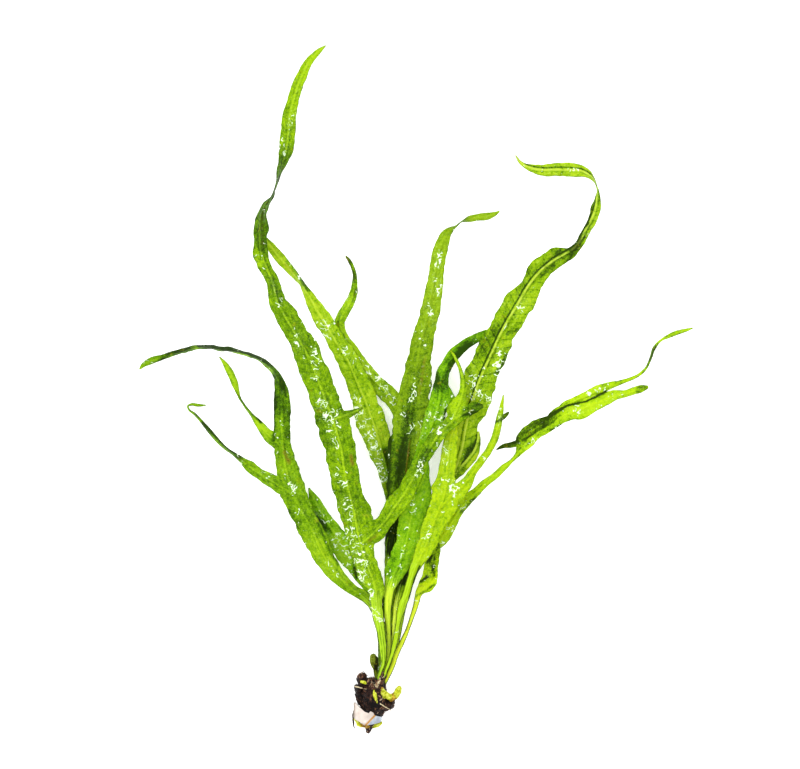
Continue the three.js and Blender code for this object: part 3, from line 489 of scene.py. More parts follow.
film = Finish("strip")
smear = film.cloud(1.6, 4)
fibre = film.cloud(0.35)
strip_colour = film.ramp(smear * 0.7 + fibre * 0.3, (0.3, rgb(172, 158, 148)), (0.55, rgb(190, 179, 169)))
# The bluish grey tones of the painted shade past the crease
shade_side_tones = film.ramp(smear, (0.35, rgb(112, 130, 156)), (0.62, rgb(158, 174, 186)))
for layer, breakup, tint in (("cool", 0.55 + smear * 0.5, shade_side_tones),
                             ("fold", 0.8 + fibre * 1.4, rgb(170, 118, 26)),
                             ("soil", 0.4 + fibre, rgb(96, 78, 58))):
    strip_colour = film.blend((film.painted(layer) * breakup).clip(), strip_colour, tint)
strip_mesh.materials.append(
    film.close(strip_colour, 0.34 + fibre * 0.25, smear + fibre * 0.3, 0.12, coat=0.3))
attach(strip, "root")
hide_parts("weight_strip")

# Tall left frond
# The plant's longest leaf: a wet, leathery blade on a thin stalk, with a raised midrib, a long
# lobe crossing to the right and a short tooth. Its tip turns over. It grows from the crown.

# Stations from foot to tip: x, y, z of the midrib, blade width left and right of it, then the
# roll (right margin up) and the fold (both margins up) in degrees
TALL_LEFT = [
    (0.9, 7.9, 7.2, 0.55, 0.55), (2, 11.5, 7.4, 0.7, 0.7), (1.9, 16, 7.6, 1.1, 1.1),
    (1.3, 21, 7.8, 1.3, 1.4), (0.4, 26, 8, 1.7, 1.6), (0, 30, 8.3, 1.9, 1.9), (-0.4, 34, 8.7, 2.4, 2.9),
    (-1.6, 38, 9.1, 3.6, 2.9), (-3.2, 42, 9.5, 3.7, 3), (-4.5, 46, 9.9, 3.7, 3.9),
    (-5.4, 50, 10.3, 3.7, 4.8), (-6.2, 54, 10.7, 4, 5), (-7, 58, 11.1, 4.5, 5), (-8, 62, 11.4, 4.3, 3.8),
    (-9, 66, 11.7, 4.6, 4.2), (-9.7, 70, 12, 4.9, 4.2), (-10.4, 75, 12.3, 4.8, 4.4),
    (-11.7, 80, 12.5, 5, 4.5), (-13.3, 85, 12.6, 4.9, 4.4), (-15.2, 90, 12.5, 4.3, 4.1),
    (-17, 95, 12.3, 4.2, 4.1), (-19, 100, 12, 4.2, 3.9), (-21.3, 105, 11.5, 3.7, 4.2),
    (-24.2, 110, 10.9, 2.9, 3.5), (-27.2, 115, 10.1, 2.9, 3.7), (-29.8, 120, 9.2, 2.4, 2.5),
    (-30.9, 125, 8.5, 1.8, 2.2), (-33, 130, 7.7, 2.3, 1.6), (-34.5, 134.5, 7, 2.4, 2.1),
    (-34.8, 138, 6.5, 1.9, 2, 20), (-34.7, 142, 5.9, 2.8, 3, 35), (-34.2, 146, 5.4, 2.8, 2.8, 60),
    (-32.8, 149, 4.9, 2.7, 2.7, 72), (-31.2, 151.4, 4.4, 2.6, 2.6, 85), (-30.2, 154, 3.9, 2.5, 2.5, 90),
    (-29.3, 157.5, 3.5, 2.3, 2.3, 105), (-28.3, 161, 3.2, 2.2, 2.2, 130),
    (-27.3, 164.5, 2.8, 2.2, 2.2, 155), (-26.5, 170, 2.4, 2.25, 2.25, 170), (-25.9, 176, 2, 2, 2, 175),
    (-24.4, 182, 1.7, 1.75, 1.75, 178), (-22.1, 188, 1.4, 1.45, 1.5, 180), (-19.9, 192, 1.1, 1.1, 1.2, 180),
    (-17.3, 194.8, 0.8, 0.75, 0.75, 180), (-15.2, 196.5, 0.5, 0.15, 0.15, 180),
]
TALL_LEFT_LOBE_1 = [
    (-4.4, 47.2, 10, 1.4, 1), (-1.6, 49.7, 10.4, 4, 2.9), (0.2, 51.5, 10.6, 3.2, 3),
    (1.9, 53.2, 10.8, 2.6, 2.4), (5.4, 58.2, 11.3, 2.9, 2.9), (8.5, 62.4, 11.8, 2.7, 2.8),
    (11, 66.9, 12, 2.4, 2.4), (13.6, 72, 12, 1.9, 1.9), (15.9, 75.9, 11.8, 2.1, 2.1),
    (18.3, 79.5, 11.4, 2.1, 2.1), (21.2, 82.5, 10.9, 1.9, 1.8), (24.5, 85.3, 10.4, 2.1, 2),
    (27.5, 87, 10, 1.8, 1.8), (29.8, 88, 9.7, 1.6, 1.5), (31.9, 88.4, 9.4, 0.4, 0.4),
]
TALL_LEFT_LOBE_2 = [
    (22.4, 83.2, 10.7, 0.8, 0.8), (23.8, 87, 10.5, 2.6, 2.2), (24.8, 89.2, 10.35, 2.2, 2),
    (25.6, 91.6, 10.25, 1.3, 1.3), (25.9, 93.6, 10.2, 1, 1), (25.8, 96.3, 10.1, 0.8, 0.8),
    (25, 99.5, 10, 0.5, 0.5), (23.8, 102.3, 9.9, 0.45, 0.45), (22.1, 105.2, 9.7, 0.15, 0.15),
]
TALL_LEFT_LOBE_3 = [
    (-12.6, 84.3, 12.5, 0.9, 0.9), (-9.6, 85.5, 12.5, 1.4, 1.4), (-7.4, 86.3, 12.2, 0.95, 0.95),
    (-5.6, 87.1, 11.9, 0.6, 0.6), (-4, 87.9, 11.6, 0.15, 0.15),
]

# How every blade is built, in millimetres. It thins over the last of its margin, and where it is
# narrower than the curl's width it closes up until it is nearly round
BLADE_STEP = 0.5
BLADE_LEAST_RINGS = 40
BLADE_COLUMNS = 27
BLADE_THICKNESS = 0.34
BLADE_EXTRA_WIDTH = 0.05
BLADE_LEAST_WIDTH = 0.08
BLADE_LOWEST = 0.03
MARGIN_TAPER = 0.55
CURL_HEIGHT = 0.42
CURL_WIDTH = 1.5
# A stalk's half height as a share of its half width, and how softly it opens into the blade
STALK_HEIGHT = 0.72
STALK_FADE = 9
FOOT_LENGTH = 1.6
LOBE_FADE = 6
LOBE_THINNING = 0.04
RIB_WIDTH = 0.5
RIB_HEIGHT = 0.24
RIB_BULGE_WIDTH = 0.42
RIB_BULGE_DEPTH = 0.16
TROUGH_PLACE = 1.15
TROUGH_WIDTH = 0.65
TROUGH_DEPTH = 0.16
# The side veins and the quilting between them lie this far apart, and slant back from the midrib
VEIN_PITCH = 2.9
VEIN_SLANT = 0.62
QUILT_DEPTH = 0.085
RIPPLE_LONG = 12.5
RIPPLE_SHORT = 5.1
# The frills of a margin: each one's share of the blade's width, and its length
FRILLS = ((0.12, 3.7), (0.09, 1.5))
GRAIN_SIZE = 1.9
GRAIN_DEPTH = 0.075
# So many points at a time are matched with a blade's rings, to save memory
MATCHED_AT_ONCE = 4000


def smooth_rows(rows):
    """Stations joined by one smooth curve, cut into even steps; returns the rows and the run at each."""
    knots = np.zeros((len(rows), 7))
    for row, station in zip(knots, rows):
        row[:len(station)] = station
    gaps = np.linalg.norm(np.diff(knots[:, :3], axis=0), axis=1)
    run = np.concatenate([[0], np.cumsum(gaps)])
    slopes = np.diff(knots, axis=0) / gaps[:, None]
    turns = (slopes[:-1] * gaps[1:, None] + slopes[1:] * gaps[:-1, None]) / (gaps[1:] + gaps[:-1])[:, None]
    bends = np.vstack([slopes[:1], turns, slopes[-1:]])
    places = np.linspace(0, run[-1], max(int(run[-1] / BLADE_STEP), BLADE_LEAST_RINGS))
    low = np.clip(np.searchsorted(run, places, side="right") - 1, 0, len(gaps) - 1)
    size = gaps[low][:, None]
    share = ((places - run[low]) / gaps[low])[:, None]
    made = (knots[low] * (2 * share ** 3 - 3 * share ** 2 + 1)
            + bends[low] * size * (share ** 3 - 2 * share ** 2 + share)
            + knots[low + 1] * (3 * share ** 2 - 2 * share ** 3)
            + bends[low + 1] * size * (share ** 3 - share ** 2))
    made[:, 3:5] = np.maximum(made[:, 3:5] + BLADE_EXTRA_WIDTH, BLADE_LEAST_WIDTH)
    return made, places


def eased(share):
    """A share from 0 to 1, with a soft start and end."""
    return share ** 2 * (3 - 2 * share)


class Blade:
    """One ribbon of leaf: a frond's main blade or a lobe. It is made from its stations, the length
    of its stalk and the height of its margins' ripples in millimetres, and a seed of its own."""

    def __init__(self, rows, stalk, ripple, seed):
        made, self.run = smooth_rows(rows)
        self.middle = made[:, :3]
        along = np.gradient(self.middle, axis=0)
        along /= np.linalg.norm(along, axis=1)[:, None]
        level = np.cross(along, (0, 0, 1))
        level /= np.linalg.norm(level, axis=1)[:, None]
        raised = np.cross(level, along)
        roll, self.fold = np.radians(made[:, 5:6]), np.radians(made[:, 6:7])
        self.side = level * np.cos(roll) + raised * np.sin(roll)
        self.face = raised * np.cos(roll) - level * np.sin(roll)

        def frilled(width, margin):
            return width * [sum((share * noise.noise(Vector((run / length, seed, margin)))
                                 for share, length in FRILLS), 1) for run in self.run]

        self.left, self.right = frilled(made[:, 3], 0.3), frilled(made[:, 4], 7.3)
        self.stalk = stalk
        self.ripple = ripple
        self.phase = seed * 1.7

    def nearest(self, points):
        """For each point seen from above: the nearest ring, and the way to the right of the midrib."""
        ring = np.empty(len(points), int)
        for start in range(0, len(points), MATCHED_AT_ONCE):
            end = start + MATCHED_AT_ONCE
            part = points[start:end, None, :2] - self.middle[None, :, :2]
            ring[start:end] = np.argmin((part ** 2).sum(2), axis=1)
        away = points[:, :2] - self.middle[ring, :2]
        return ring, (away * self.side[ring, :2]).sum(1)

    def width(self, ring, across):
        """The blade's width on the side of the midrib that each point lies on."""
        return np.where(across > 0, self.right[ring], self.left[ring])

    def depth(self, points):
        """How far inside the ribbon's margin each point lies, seen from above."""
        ring, across = self.nearest(points)
        gone = np.linalg.norm(points[:, :2] - self.middle[ring, :2], axis=1)
        return self.width(ring, across) - np.maximum(np.abs(across), gone), ring, across

    def swell(self, ring, across, rib):
        """The height of the blade's skin over its flat middle: quilting, ripples, trough and rib."""
        width = self.width(ring, across)
        out = np.clip(np.abs(across) / width, 0, 1)
        run = self.run[ring]
        broad = np.clip((width - 0.9) / 2.2, 0, 1)
        swing = np.sin(run * 2 * math.pi / RIPPLE_LONG + self.phase + 1.9 * (across > 0))
        flick = np.sin(run * 2 * math.pi / RIPPLE_SHORT + self.phase * 2.3 + 0.8 * (across > 0))
        quilt = np.sin((run - VEIN_SLANT * np.abs(across)) * 2 * math.pi / VEIN_PITCH
                       + 0.7 * np.sin(run / 3.1 + self.phase))
        return broad * (self.ripple * out ** 2.3 * (0.62 * swing + 0.38 * flick)
                        + QUILT_DEPTH * quilt * np.sin(math.pi * np.clip(out * 1.05, 0, 1))
                        - TROUGH_DEPTH * np.exp(-((rib - TROUGH_PLACE) / TROUGH_WIDTH) ** 2)
                        + RIB_HEIGHT * np.exp(-(rib / RIB_WIDTH) ** 2))


def frond_mesh(name, ribbons):
    """A frond's whole mesh from its main blade and the lobes grown on it, each a Blade."""
    points, faces, margins = [], [], []
    layers = {key: [] for key in ("along", "across", "edge", "rib", "stalk")}
    spread = np.linspace(-1, 1, BLADE_COLUMNS)
    spread = np.sign(spread) * np.abs(spread) ** 1.25
    for order, ribbon in enumerate(ribbons):
        rings = len(ribbon.run)
        ring = np.repeat(np.arange(rings), BLADE_COLUMNS)
        part = np.tile(spread, rings)
        width = ribbon.width(ring, part)
        across = part * width
        fold = ribbon.fold[ring][:, 0]
        flat = (ribbon.middle[ring] + ribbon.side[ring] * (across * np.cos(fold))[:, None]
                + ribbon.face[ring] * (np.abs(across) * np.sin(fold))[:, None])
        edge = np.minimum(width * (1 - np.abs(part)), (ribbon.run[-1] - ribbon.run[ring]) + 0.02)
        rib = np.abs(across)
        # Where another ribbon covers this one there is no margin, and its midrib is felt too
        for other in ribbons:
            if other is ribbon:
                continue
            edge = np.maximum(edge, other.depth(flat)[0])
            gone = np.linalg.norm(flat[:, None, :2] - other.middle[None, ::4, :2], axis=2).min(1)
            rib = np.minimum(rib, gone)
        skin = flat + ribbon.face[ring] * ribbon.swell(ring, across, rib)[:, None]
        # A lobe's skin comes down, or up, to the skin of the blade that it grows on
        under = np.zeros(len(skin))
        depths = [host.depth(flat) for host in ribbons[:order]]
        best = np.argmax([entry[0] for entry in depths], axis=0) if depths else None
        for number, (depth, host_ring, host_across) in enumerate(depths):
            host = ribbons[number]
            held = np.clip(host_across, -host.left[host_ring], host.right[host_ring])
            top = (host.middle[host_ring, 2] + host.side[host_ring, 2] * held
                   + host.face[host_ring, 2] * host.swell(host_ring, held, rib))
            share = eased(np.clip((depth + LOBE_FADE) / LOBE_FADE, 0, 1) * (best == number))
            skin[:, 2] += (top - skin[:, 2]) * share
            under = np.maximum(under, share * (depth > 0))
        skin += ribbon.face[ring] * (GRAIN_DEPTH * rough_field(skin, GRAIN_SIZE, 2))[:, None]
        # The stalk is round, the blade thin, and its midrib stands out below
        stalk = eased(1 - np.clip((ribbon.run[ring] - ribbon.stalk + STALK_FADE) / STALK_FADE, 0, 1))
        dome = np.sqrt(np.clip(1 - part ** 2, 0, 1))
        leaf = np.maximum(BLADE_THICKNESS / 2 * np.sqrt(np.clip(edge / MARGIN_TAPER, 0.03, 1)),
                          CURL_HEIGHT * width * dome * np.clip((CURL_WIDTH - width) / 0.6, 0, 1))
        thick = leaf * (1 - stalk) + STALK_HEIGHT * width * dome * stalk - LOBE_THINNING * under
        bulge = (RIB_BULGE_DEPTH * np.exp(-(rib / RIB_BULGE_WIDTH) ** 2)
                 * (1 - stalk) * np.clip(width / 2, 0, 1))
        first, count = sum(len(block) for block in points), len(skin)
        points += [skin + ribbon.face[ring] * thick[:, None],
                   skin - ribbon.face[ring] * (thick + bulge)[:, None]]
        for key, values in (("along", ribbon.run[ring]), ("across", across), ("edge", edge), ("rib", rib),
                            ("stalk", stalk)):
            layers[key] += [values, values]
        # The top skin, the skin below it, then the four walls between them
        cell = np.arange(rings - 1)[:, None] * BLADE_COLUMNS + np.arange(BLADE_COLUMNS - 1)[None]
        cell = cell.ravel() + first
        quads = np.stack([cell, cell + 1, cell + 1 + BLADE_COLUMNS, cell + BLADE_COLUMNS], axis=1)
        faces += [quads, quads[:, ::-1] + count]
        left = first + np.arange(rings - 1) * BLADE_COLUMNS
        foot = first + np.arange(BLADE_COLUMNS - 1)
        for start, step, corners in (
                (left, BLADE_COLUMNS, (0, 2, 3, 1)), (left + BLADE_COLUMNS - 1, BLADE_COLUMNS, (0, 1, 3, 2)),
                (foot, 1, (0, 1, 3, 2)), (foot + (rings - 1) * BLADE_COLUMNS, 1, (0, 2, 3, 1))):
            wall = np.stack([start, start + count, start + step, start + step + count], axis=1)
            faces.append(wall[:, corners])
        margins += [first + column + np.arange(rings) * BLADE_COLUMNS for column in (0, BLADE_COLUMNS - 1)]
    places = np.vstack(points)
    places[:, 2] = np.maximum(places[:, 2], BLADE_LOWEST)
    mesh = mesh_of(name, places, np.vstack(faces).tolist())
    mesh.shade_smooth()
    for key, blocks in layers.items():
        paint(mesh, key, np.concatenate(blocks))
    # The top skin is crisp along its margins
    margin = np.zeros(len(places), int)
    for number, row in enumerate(margins):
        margin[row] = number + 1
    ends = np.empty(len(mesh.edges) * 2, dtype=np.int32)
    mesh.edges.foreach_get("vertices", ends)
    ends = ends.reshape(-1, 2)
    sharp = (margin[ends[:, 0]] > 0) & (margin[ends[:, 0]] == margin[ends[:, 1]])
    mesh.attributes.new("sharp_edge", "BOOLEAN", "EDGE").data.foreach_set("value", sharp)
    return mesh


STALK_GREEN = rgb(150, 186, 34)
RIB_GREEN = rgb(168, 186, 70)
MARGIN_SHADE_GREEN = rgb(34, 50, 2)
AGEING_YELLOW = rgb(160, 156, 14)
STAIN_BROWNS = ((0.35, rgb(62, 48, 10)), (0.62, rgb(128, 112, 26)))
# Painted sparkle, sheen and glints: pale colours that stand for light off the wet leaf
PAINTED_SPARKLE = rgb(176, 208, 84)
PAINTED_SHEEN = rgb(186, 216, 150)
PAINTED_GLINT_WHITE = rgb(232, 246, 222)


def darker(colour, share):
    return (*(level * share for level in colour[:3]), 1.0)


def leaf_finish(name, bright, middle, deep, stalk=STALK_GREEN, vein=0.5, wet=0.5, painted_rib_shadow=0.0):
    """Fern leaf: mottled greens, pale midrib, side veins, brown stains, painted shade, painted glints and
    sheen.
    """
    leaf = Finish(name)
    along, across = leaf.painted("along"), leaf.painted("across")
    rib, edge, shade = leaf.painted("rib"), leaf.painted("edge"), leaf.painted("shade")
    grown = leaf.node("ShaderNodeCombineXYZ", {}, {0: along * 0.42, 1: across * 1.15, 2: across * 0.3})
    mottle = leaf.cloud(3.6, distortion=0.4)
    patch = leaf.cloud(1.1, 4, rough=0.6)
    grain = leaf.cloud(0.42, 2)
    streak = leaf.cloud(0.9, place=grown)

    # The greens: a higher tone is a deeper green
    slant = (along - abs(across) * VEIN_SLANT + mottle * 1.3) * (2 * math.pi / VEIN_PITCH)
    side_vein = slant.sum("COSINE").ease(0.84, 1.0)
    # Painted shade from the strokes deepens the tone, and painted light below 0 lifts it
    tone = (shade + 0.45 + (mottle - 0.5) * 0.5 + (patch - 0.5) * 0.75 + (streak - 0.5) * 0.8
            + (grain - 0.5) * 0.95 + side_vein * (0.1 * vein))
    rib_line = (1 - rib.ease(0.1, 0.5)) * streak.ease(0.3, 0.6) * (1 - shade.ease(0.12, 0.5) * 0.7)
    rib_side = 1 - rib.ease(0.4, 1.2)
    tone = tone + rib_side * (0.1 * vein) - rib_line * (0.42 * vein)
    # A painted shadow along one side of the midrib
    if painted_rib_shadow:
        tone = tone + (1 - abs(across + 0.7).ease(0.1, 0.36)) * painted_rib_shadow
    colour = leaf.ramp(tone, (0.05, bright), (0.42, middle), (0.74, deep), (1.05, darker(deep, 0.3)))

    # The stalk's long fibres, the pale midrib, ageing tissue, stains, and painted shade along the margins
    # and between the stalks
    ribbed = (across * 9.0 + streak * 5.0).sum("COSINE")
    fibres = leaf.ramp(ribbed * 0.16 + streak * 0.6 + shade, (0.15, stalk), (0.5, middle), (0.9, deep),
                       (1.2, darker(deep, 0.15)))
    colour = leaf.blend(leaf.painted("stalk"), colour, fibres)
    colour = leaf.blend(rib_line * max(0.5 * vein - 0.35, 0), colour, RIB_GREEN)
    ageing = (leaf.cloud(2.6, 2) - 0.62).ease(0.0, 0.06) * (patch - 0.47).ease(0.0, 0.12)
    colour = leaf.blend(ageing * 0.25, colour, AGEING_YELLOW)
    stain = (leaf.painted("stain") * (0.3 + patch * 1.1)).ease(0.25, 0.95)
    colour = leaf.blend(stain, colour, leaf.ramp(grain, *STAIN_BROWNS))
    # Painted shade along the margins and where the stalks lie side by side
    rim = (1 - edge.ease(0.0, 0.34)) * (patch - 0.4).ease(0.0, 0.2) * 0.75
    painted_stalk_seam_shade = (1 - edge.ease(0.05, 0.42)) * leaf.painted("stalk") * 0.8
    colour = leaf.blend((rim + painted_stalk_seam_shade).clip(), colour, MARGIN_SHADE_GREEN)

    # Painted light off the wet leaf: fine painted sparkle, then painted glints that gather in curls, each in
    # a thin painted sheen
    glint_zone = leaf.painted("glint")
    painted_sparkle = (leaf.cloud(0.55, 1) - 0.62).ease(0.0, 0.06) * (glint_zone * 0.4 + 0.16)
    colour = leaf.blend((painted_sparkle * (1 - shade * 1.6)).clip(), colour, PAINTED_SPARKLE)
    curl = leaf.cloud(1.5, 0, distortion=0.7)
    glint_patches = (leaf.cloud(2.2, 2) + (glint_zone * 0.22 + 0.03 * wet) - 0.675).ease(0.0, 0.05)
    painted_sheen = (1 - abs(curl - 0.5).ease(0.03, 0.12)) * glint_patches * (patch - 0.3).ease(0.0, 0.3)
    colour = leaf.blend(painted_sheen * 0.42, colour, PAINTED_SHEEN)
    glint = (1 - abs(curl - 0.5).ease(0.014, 0.045)) * glint_patches
    colour = leaf.blend(glint * (0.5 + grain * 0.9).clip(), colour, PAINTED_GLINT_WHITE)

    height = patch * 0.5 + grain * 0.2 - side_vein * 0.2 + mottle * 0.5
    return leaf.close(colour, 0.38 + patch * 0.2 - glint * 0.2, height, 0.16,
                      coat=(glint_zone * 0.22).clip() + 0.03, gloss=0.05)


def grow_frond(slot, node, ribbons, finish, shade=(), glint=(), stain=()):
    """Put a frond in its place, with brush strokes of painted shade and tone, painted glints and stains. A
    stroke is its radius, its strength and the x, y places along it. Painted shade below 0 is painted light."""
    mesh = frond_mesh(slot, ribbons)
    points = mesh_points(mesh)
    # Painted shade and painted light from the strokes, mixed with the leaf's own darker and lighter tone
    paint(mesh, "shade", touch(points, shade))
    paint(mesh, "glint", np.minimum(touch(points, glint), 1))
    paint(mesh, "stain", touch(points, stain))
    mesh.materials.append(finish)
    frond = added(slot, mesh)
    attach(frond, "root")
    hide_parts(node)


def footed(rows):
    """A frond's stations with its foot drawn on into the crown."""
    first, second = np.array(rows[0][:3]), np.array(rows[1][:3])
    way = (first - second) / np.linalg.norm(first - second)
    return [(*(first + way * FOOT_LENGTH), *rows[0][3:]), *rows]


tall_left = [Blade(footed(TALL_LEFT), 30, 0.42, 1), Blade(TALL_LEFT_LOBE_1, 0, 0.3, 2),
             Blade(TALL_LEFT_LOBE_2, 0, 0.15, 3), Blade(TALL_LEFT_LOBE_3, 0, 0.1, 4)]
grow_frond(
    "tall_left_leaf", "frond_tall_left", tall_left,
    leaf_finish("tall_left_leaf", rgb(137, 172, 8), rgb(93, 130, 1), rgb(56, 91, 0), vein=0.9, wet=0.55),
    shade=[(2.6, 0.27, (-33.6, 137), (-33.4, 147), (-30, 156)), (0.6, 0.2, (-36.8, 141), (-36, 146)),
           (0.8, 0.4, (-31.4, 146), (-30.6, 150)), (3.4, 0.13, (-34.4, 134), (-33.6, 150)),
           (1.0, -0.14, (-12.9, 83), (-10.6, 74), (-8.2, 63), (-5.8, 52)),
           (1.2, 0.25, (-31, 126), (-28.6, 120)), (3, 0.1, (-29, 158), (-28, 162)),
           (0.8, -0.4, (-36, 135), (-34.6, 131)), (2.5, 0.1, (-24, 112), (-21, 104)),
           (2.5, 0.2, (-18, 84), (-16, 78)), (5, -0.42, (-22, 178), (-16, 196)), (3, -0.12, (-27, 168)),
           (3.4, 0.16, (-28, 162), (-30.5, 153)), (4, -0.14, (-4, 50), (0, 26)),
           (0.7, 0.5, (1.6, 45), (3, 48)), (1.4, 0.4, (26.6, 87), (31.4, 88.8)),
           (0.5, 0.5, (26, 85.6), (30.6, 86.8)), (1.2, 0.35, (12.6, 70), (15.4, 75)),
           (2.5, -0.4, (24, 87), (22, 105)), (3, 0.12, (-9, 62), (-5, 60)), (2, 0.16, (-10, 88), (-4, 88)),
           (0.5, 0.5, (-22.6, 116), (-27, 122), (-30.6, 132)), (3, -0.15, (6, 57), (10, 64))],
    glint=[(1.3, 0.9, (-24.5, 111), (-22.8, 104.5)), (1.0, 0.8, (-18.6, 105), (-17.8, 97)),
           (0.8, 0.9, (-19.4, 96.8)), (1.8, 1.0, (-17, 90.5), (-13, 83)),
           (1.4, 0.9, (-13, 79.5), (-12, 76.5)), (1.2, 0.8, (-11.2, 66.5), (-9.5, 65)),
           (1.6, 1.0, (-9.6, 60.5), (-7.6, 55.5)), (2.2, 1.3, (-8.2, 50), (-4.4, 42.5)),
           (1.6, 1.2, (-4.6, 40), (-1.2, 28), (0.6, 25)), (1.0, 0.8, (-1.8, 56.5)),
           (0.9, 0.9, (-24.8, 176), (-26, 172)), (0.9, 0.9, (-28, 168), (-27.4, 164)),
           (0.9, 0.7, (-31.5, 126), (-29, 120)), (1.0, 1.0, (18.6, 80.6), (20.8, 83.4)),
           (0.8, 0.7, (12, 67), (14, 72))],
    stain=[(0.9, 0.9, (-7.6, 73.5), (-7.2, 71)), (0.8, 0.7, (-2.4, 48), (0.6, 50)),
           (0.5, 0.5, (-6.8, 42), (-6, 38)), (2.6, 0.4, (-34, 136), (-33.8, 148))])

# Other left fronds
# Three leaves of the same wet, leathery tissue, lower in the pile: one bright frond under the
# tall one, a slim one beneath it, and a short one by the low left frond. Each grows from the crown.

INNER_LEFT = [
    (1.5, 7.7, 2.9, 0.4, 0.45), (2.5, 14, 3, 0.5, 0.55), (3.4, 24, 3.1, 0.8, 0.8), (4.2, 34, 3.2, 0.9, 0.9),
    (4.9, 44, 3.2, 1.1, 1.1), (5.2, 54, 3.2, 1.8, 1.8), (5, 60, 3.2, 2.2, 2.2), (4.1, 65, 3.2, 2.4, 2.8),
    (3, 70, 3.3, 3, 3.2), (1.4, 75.5, 3.5, 3.9, 3.8), (0.1, 80, 3.7, 4.5, 4), (-1.6, 85, 4, 4.8, 3.8),
    (-3.4, 90, 4.3, 3.9, 3.4), (-5.1, 94, 4.5, 3.6, 3.6), (-7, 98.5, 4.7, 3.1, 3.6),
    (-9.2, 103, 4.8, 3, 3.4), (-11.8, 107, 4.9, 2.6, 3.2), (-14.2, 111, 4.9, 2.4, 3),
    (-16.6, 115, 4.8, 2.5, 2.6), (-18.9, 119, 4.6, 1.9, 1.8), (-21, 122.8, 4.3, 1.7, 1.6, 45),
    (-22.6, 125.3, 4, 1.7, 1.6, 62), (-24.4, 127.6, 3.6, 1.7, 1.6, 50), (-26.6, 130.2, 3.2, 1.6, 1.4, 24),
    (-28.9, 132.8, 2.8, 1.6, 1.5, 8), (-31, 135.3, 2.5, 1.4, 1.4), (-32.8, 137.6, 2.2, 1, 1),
    (-34.2, 139.8, 2, 0.2, 0.2),
]
SLIM_LEFT = [
    (1.5, 7.7, 1.55, 0.5, 0.5), (3.4, 16, 1.5, 0.7, 0.7), (5, 28, 1.4, 0.8, 0.8), (6.5, 42, 1.4, 1, 1),
    (7.9, 56, 1.4, 1.6, 1.6), (8.4, 68, 1.4, 2.4, 2.4), (7.9, 78, 1.5, 3, 3), (6.2, 86.5, 1.7, 1.4, 3.2),
    (3.2, 92, 1.8, 2.5, 2.8), (-0.8, 96.2, 1.9, 3, 2.1), (-4.5, 101, 2, 3, 2), (-8, 106, 2, 3, 1.7),
    (-10.3, 110.8, 2, 2.4, 1.1), (-10.9, 113.5, 2, 1.8, 1.4), (-9.8, 116.3, 2, 1.5, 1.4),
    (-8.2, 119, 1.9, 1.4, 1.4), (-7, 122, 1.8, 1.1, 1.2), (-6.6, 125, 1.7, 0.8, 0.9),
    (-6.5, 127.5, 1.5, 0.6, 0.6), (-7.2, 130, 1.3, 0.55, 0.55), (-8.1, 131.8, 1.1, 0.5, 0.5),
    (-9.2, 133.3, 0.9, 0.25, 0.25),
]
UNDER_LEFT = [
    (0.55, 8.15, 2.9, 0.4, 0.4), (1, 13, 2.9, 0.55, 0.55), (0.8, 21, 2.9, 0.7, 0.7),
    (-0.5, 28, 2.8, 0.9, 0.9), (-2.4, 33.5, 2.7, 1.4, 1.4), (-5, 38.5, 2.6, 2.3, 2.2),
    (-7.9, 43.5, 2.6, 3.6, 2.8), (-11, 48, 2.6, 3.6, 2.8), (-14, 52.3, 2.6, 3, 2.2),
    (-16.6, 56.5, 2.6, 2.4, 1.9), (-18.6, 60.3, 2.5, 1.6, 1.3), (-20.3, 63.8, 2.4, 0.2, 0.2),
]

grow_frond(
    "inner_left_leaf", "frond_inner_left", [Blade(footed(INNER_LEFT), 48, 0.3, 5)],
    leaf_finish("inner_left_leaf", rgb(160, 186, 36), rgb(124, 160, 8), rgb(78, 120, 0), vein=1.0, wet=0.8),
    shade=[(4, -0.22, (-17, 115), (-28, 132)), (1.0, 0.7, (-26, 132.5), (-24, 129.5), (-20.5, 123.5)),
           (3, -0.14, (-5, 88), (1, 80)), (1.4, 0.6, (3, 75), (4.6, 66), (5.2, 50), (4.8, 44)),
           (1.2, 0.25, (-12, 116), (-9, 110))],
    glint=[(1.8, 0.9, (-16.5, 113), (-14.5, 109)), (1.5, 0.8, (-10, 106), (-5.5, 100)),
           (2.2, 1.0, (-6.5, 90), (-2.6, 80)), (2.0, 1.0, (-1.4, 78), (2.2, 66)),
           (1.2, 0.5, (-26, 131), (-23, 127))],
    stain=[(0.6, 0.6, (-27.5, 131), (-25, 128.5))])
grow_frond(
    "slim_left_leaf", "frond_slim_left", [Blade(footed(SLIM_LEFT), 50, 0.2, 6)],
    leaf_finish("slim_left_leaf", rgb(152, 184, 24), rgb(124, 162, 8), rgb(80, 120, 0), vein=0.8, wet=0.7),
    shade=[(1.2, 0.5, (-7.4, 127), (-8.8, 133)), (1, 0.35, (-6.2, 120), (-6.6, 128)),
           (1.5, 0.15, (-11.5, 113), (-9.8, 115)), (2, -0.2, (-9, 109), (-3, 99))],
    glint=[(1.8, 0.9, (-3, 100), (5, 90)), (1.0, 0.7, (-8.6, 118.5), (-7.5, 121))],
    stain=[(0.5, 0.8, (-8.6, 132), (-9.2, 133.4))])
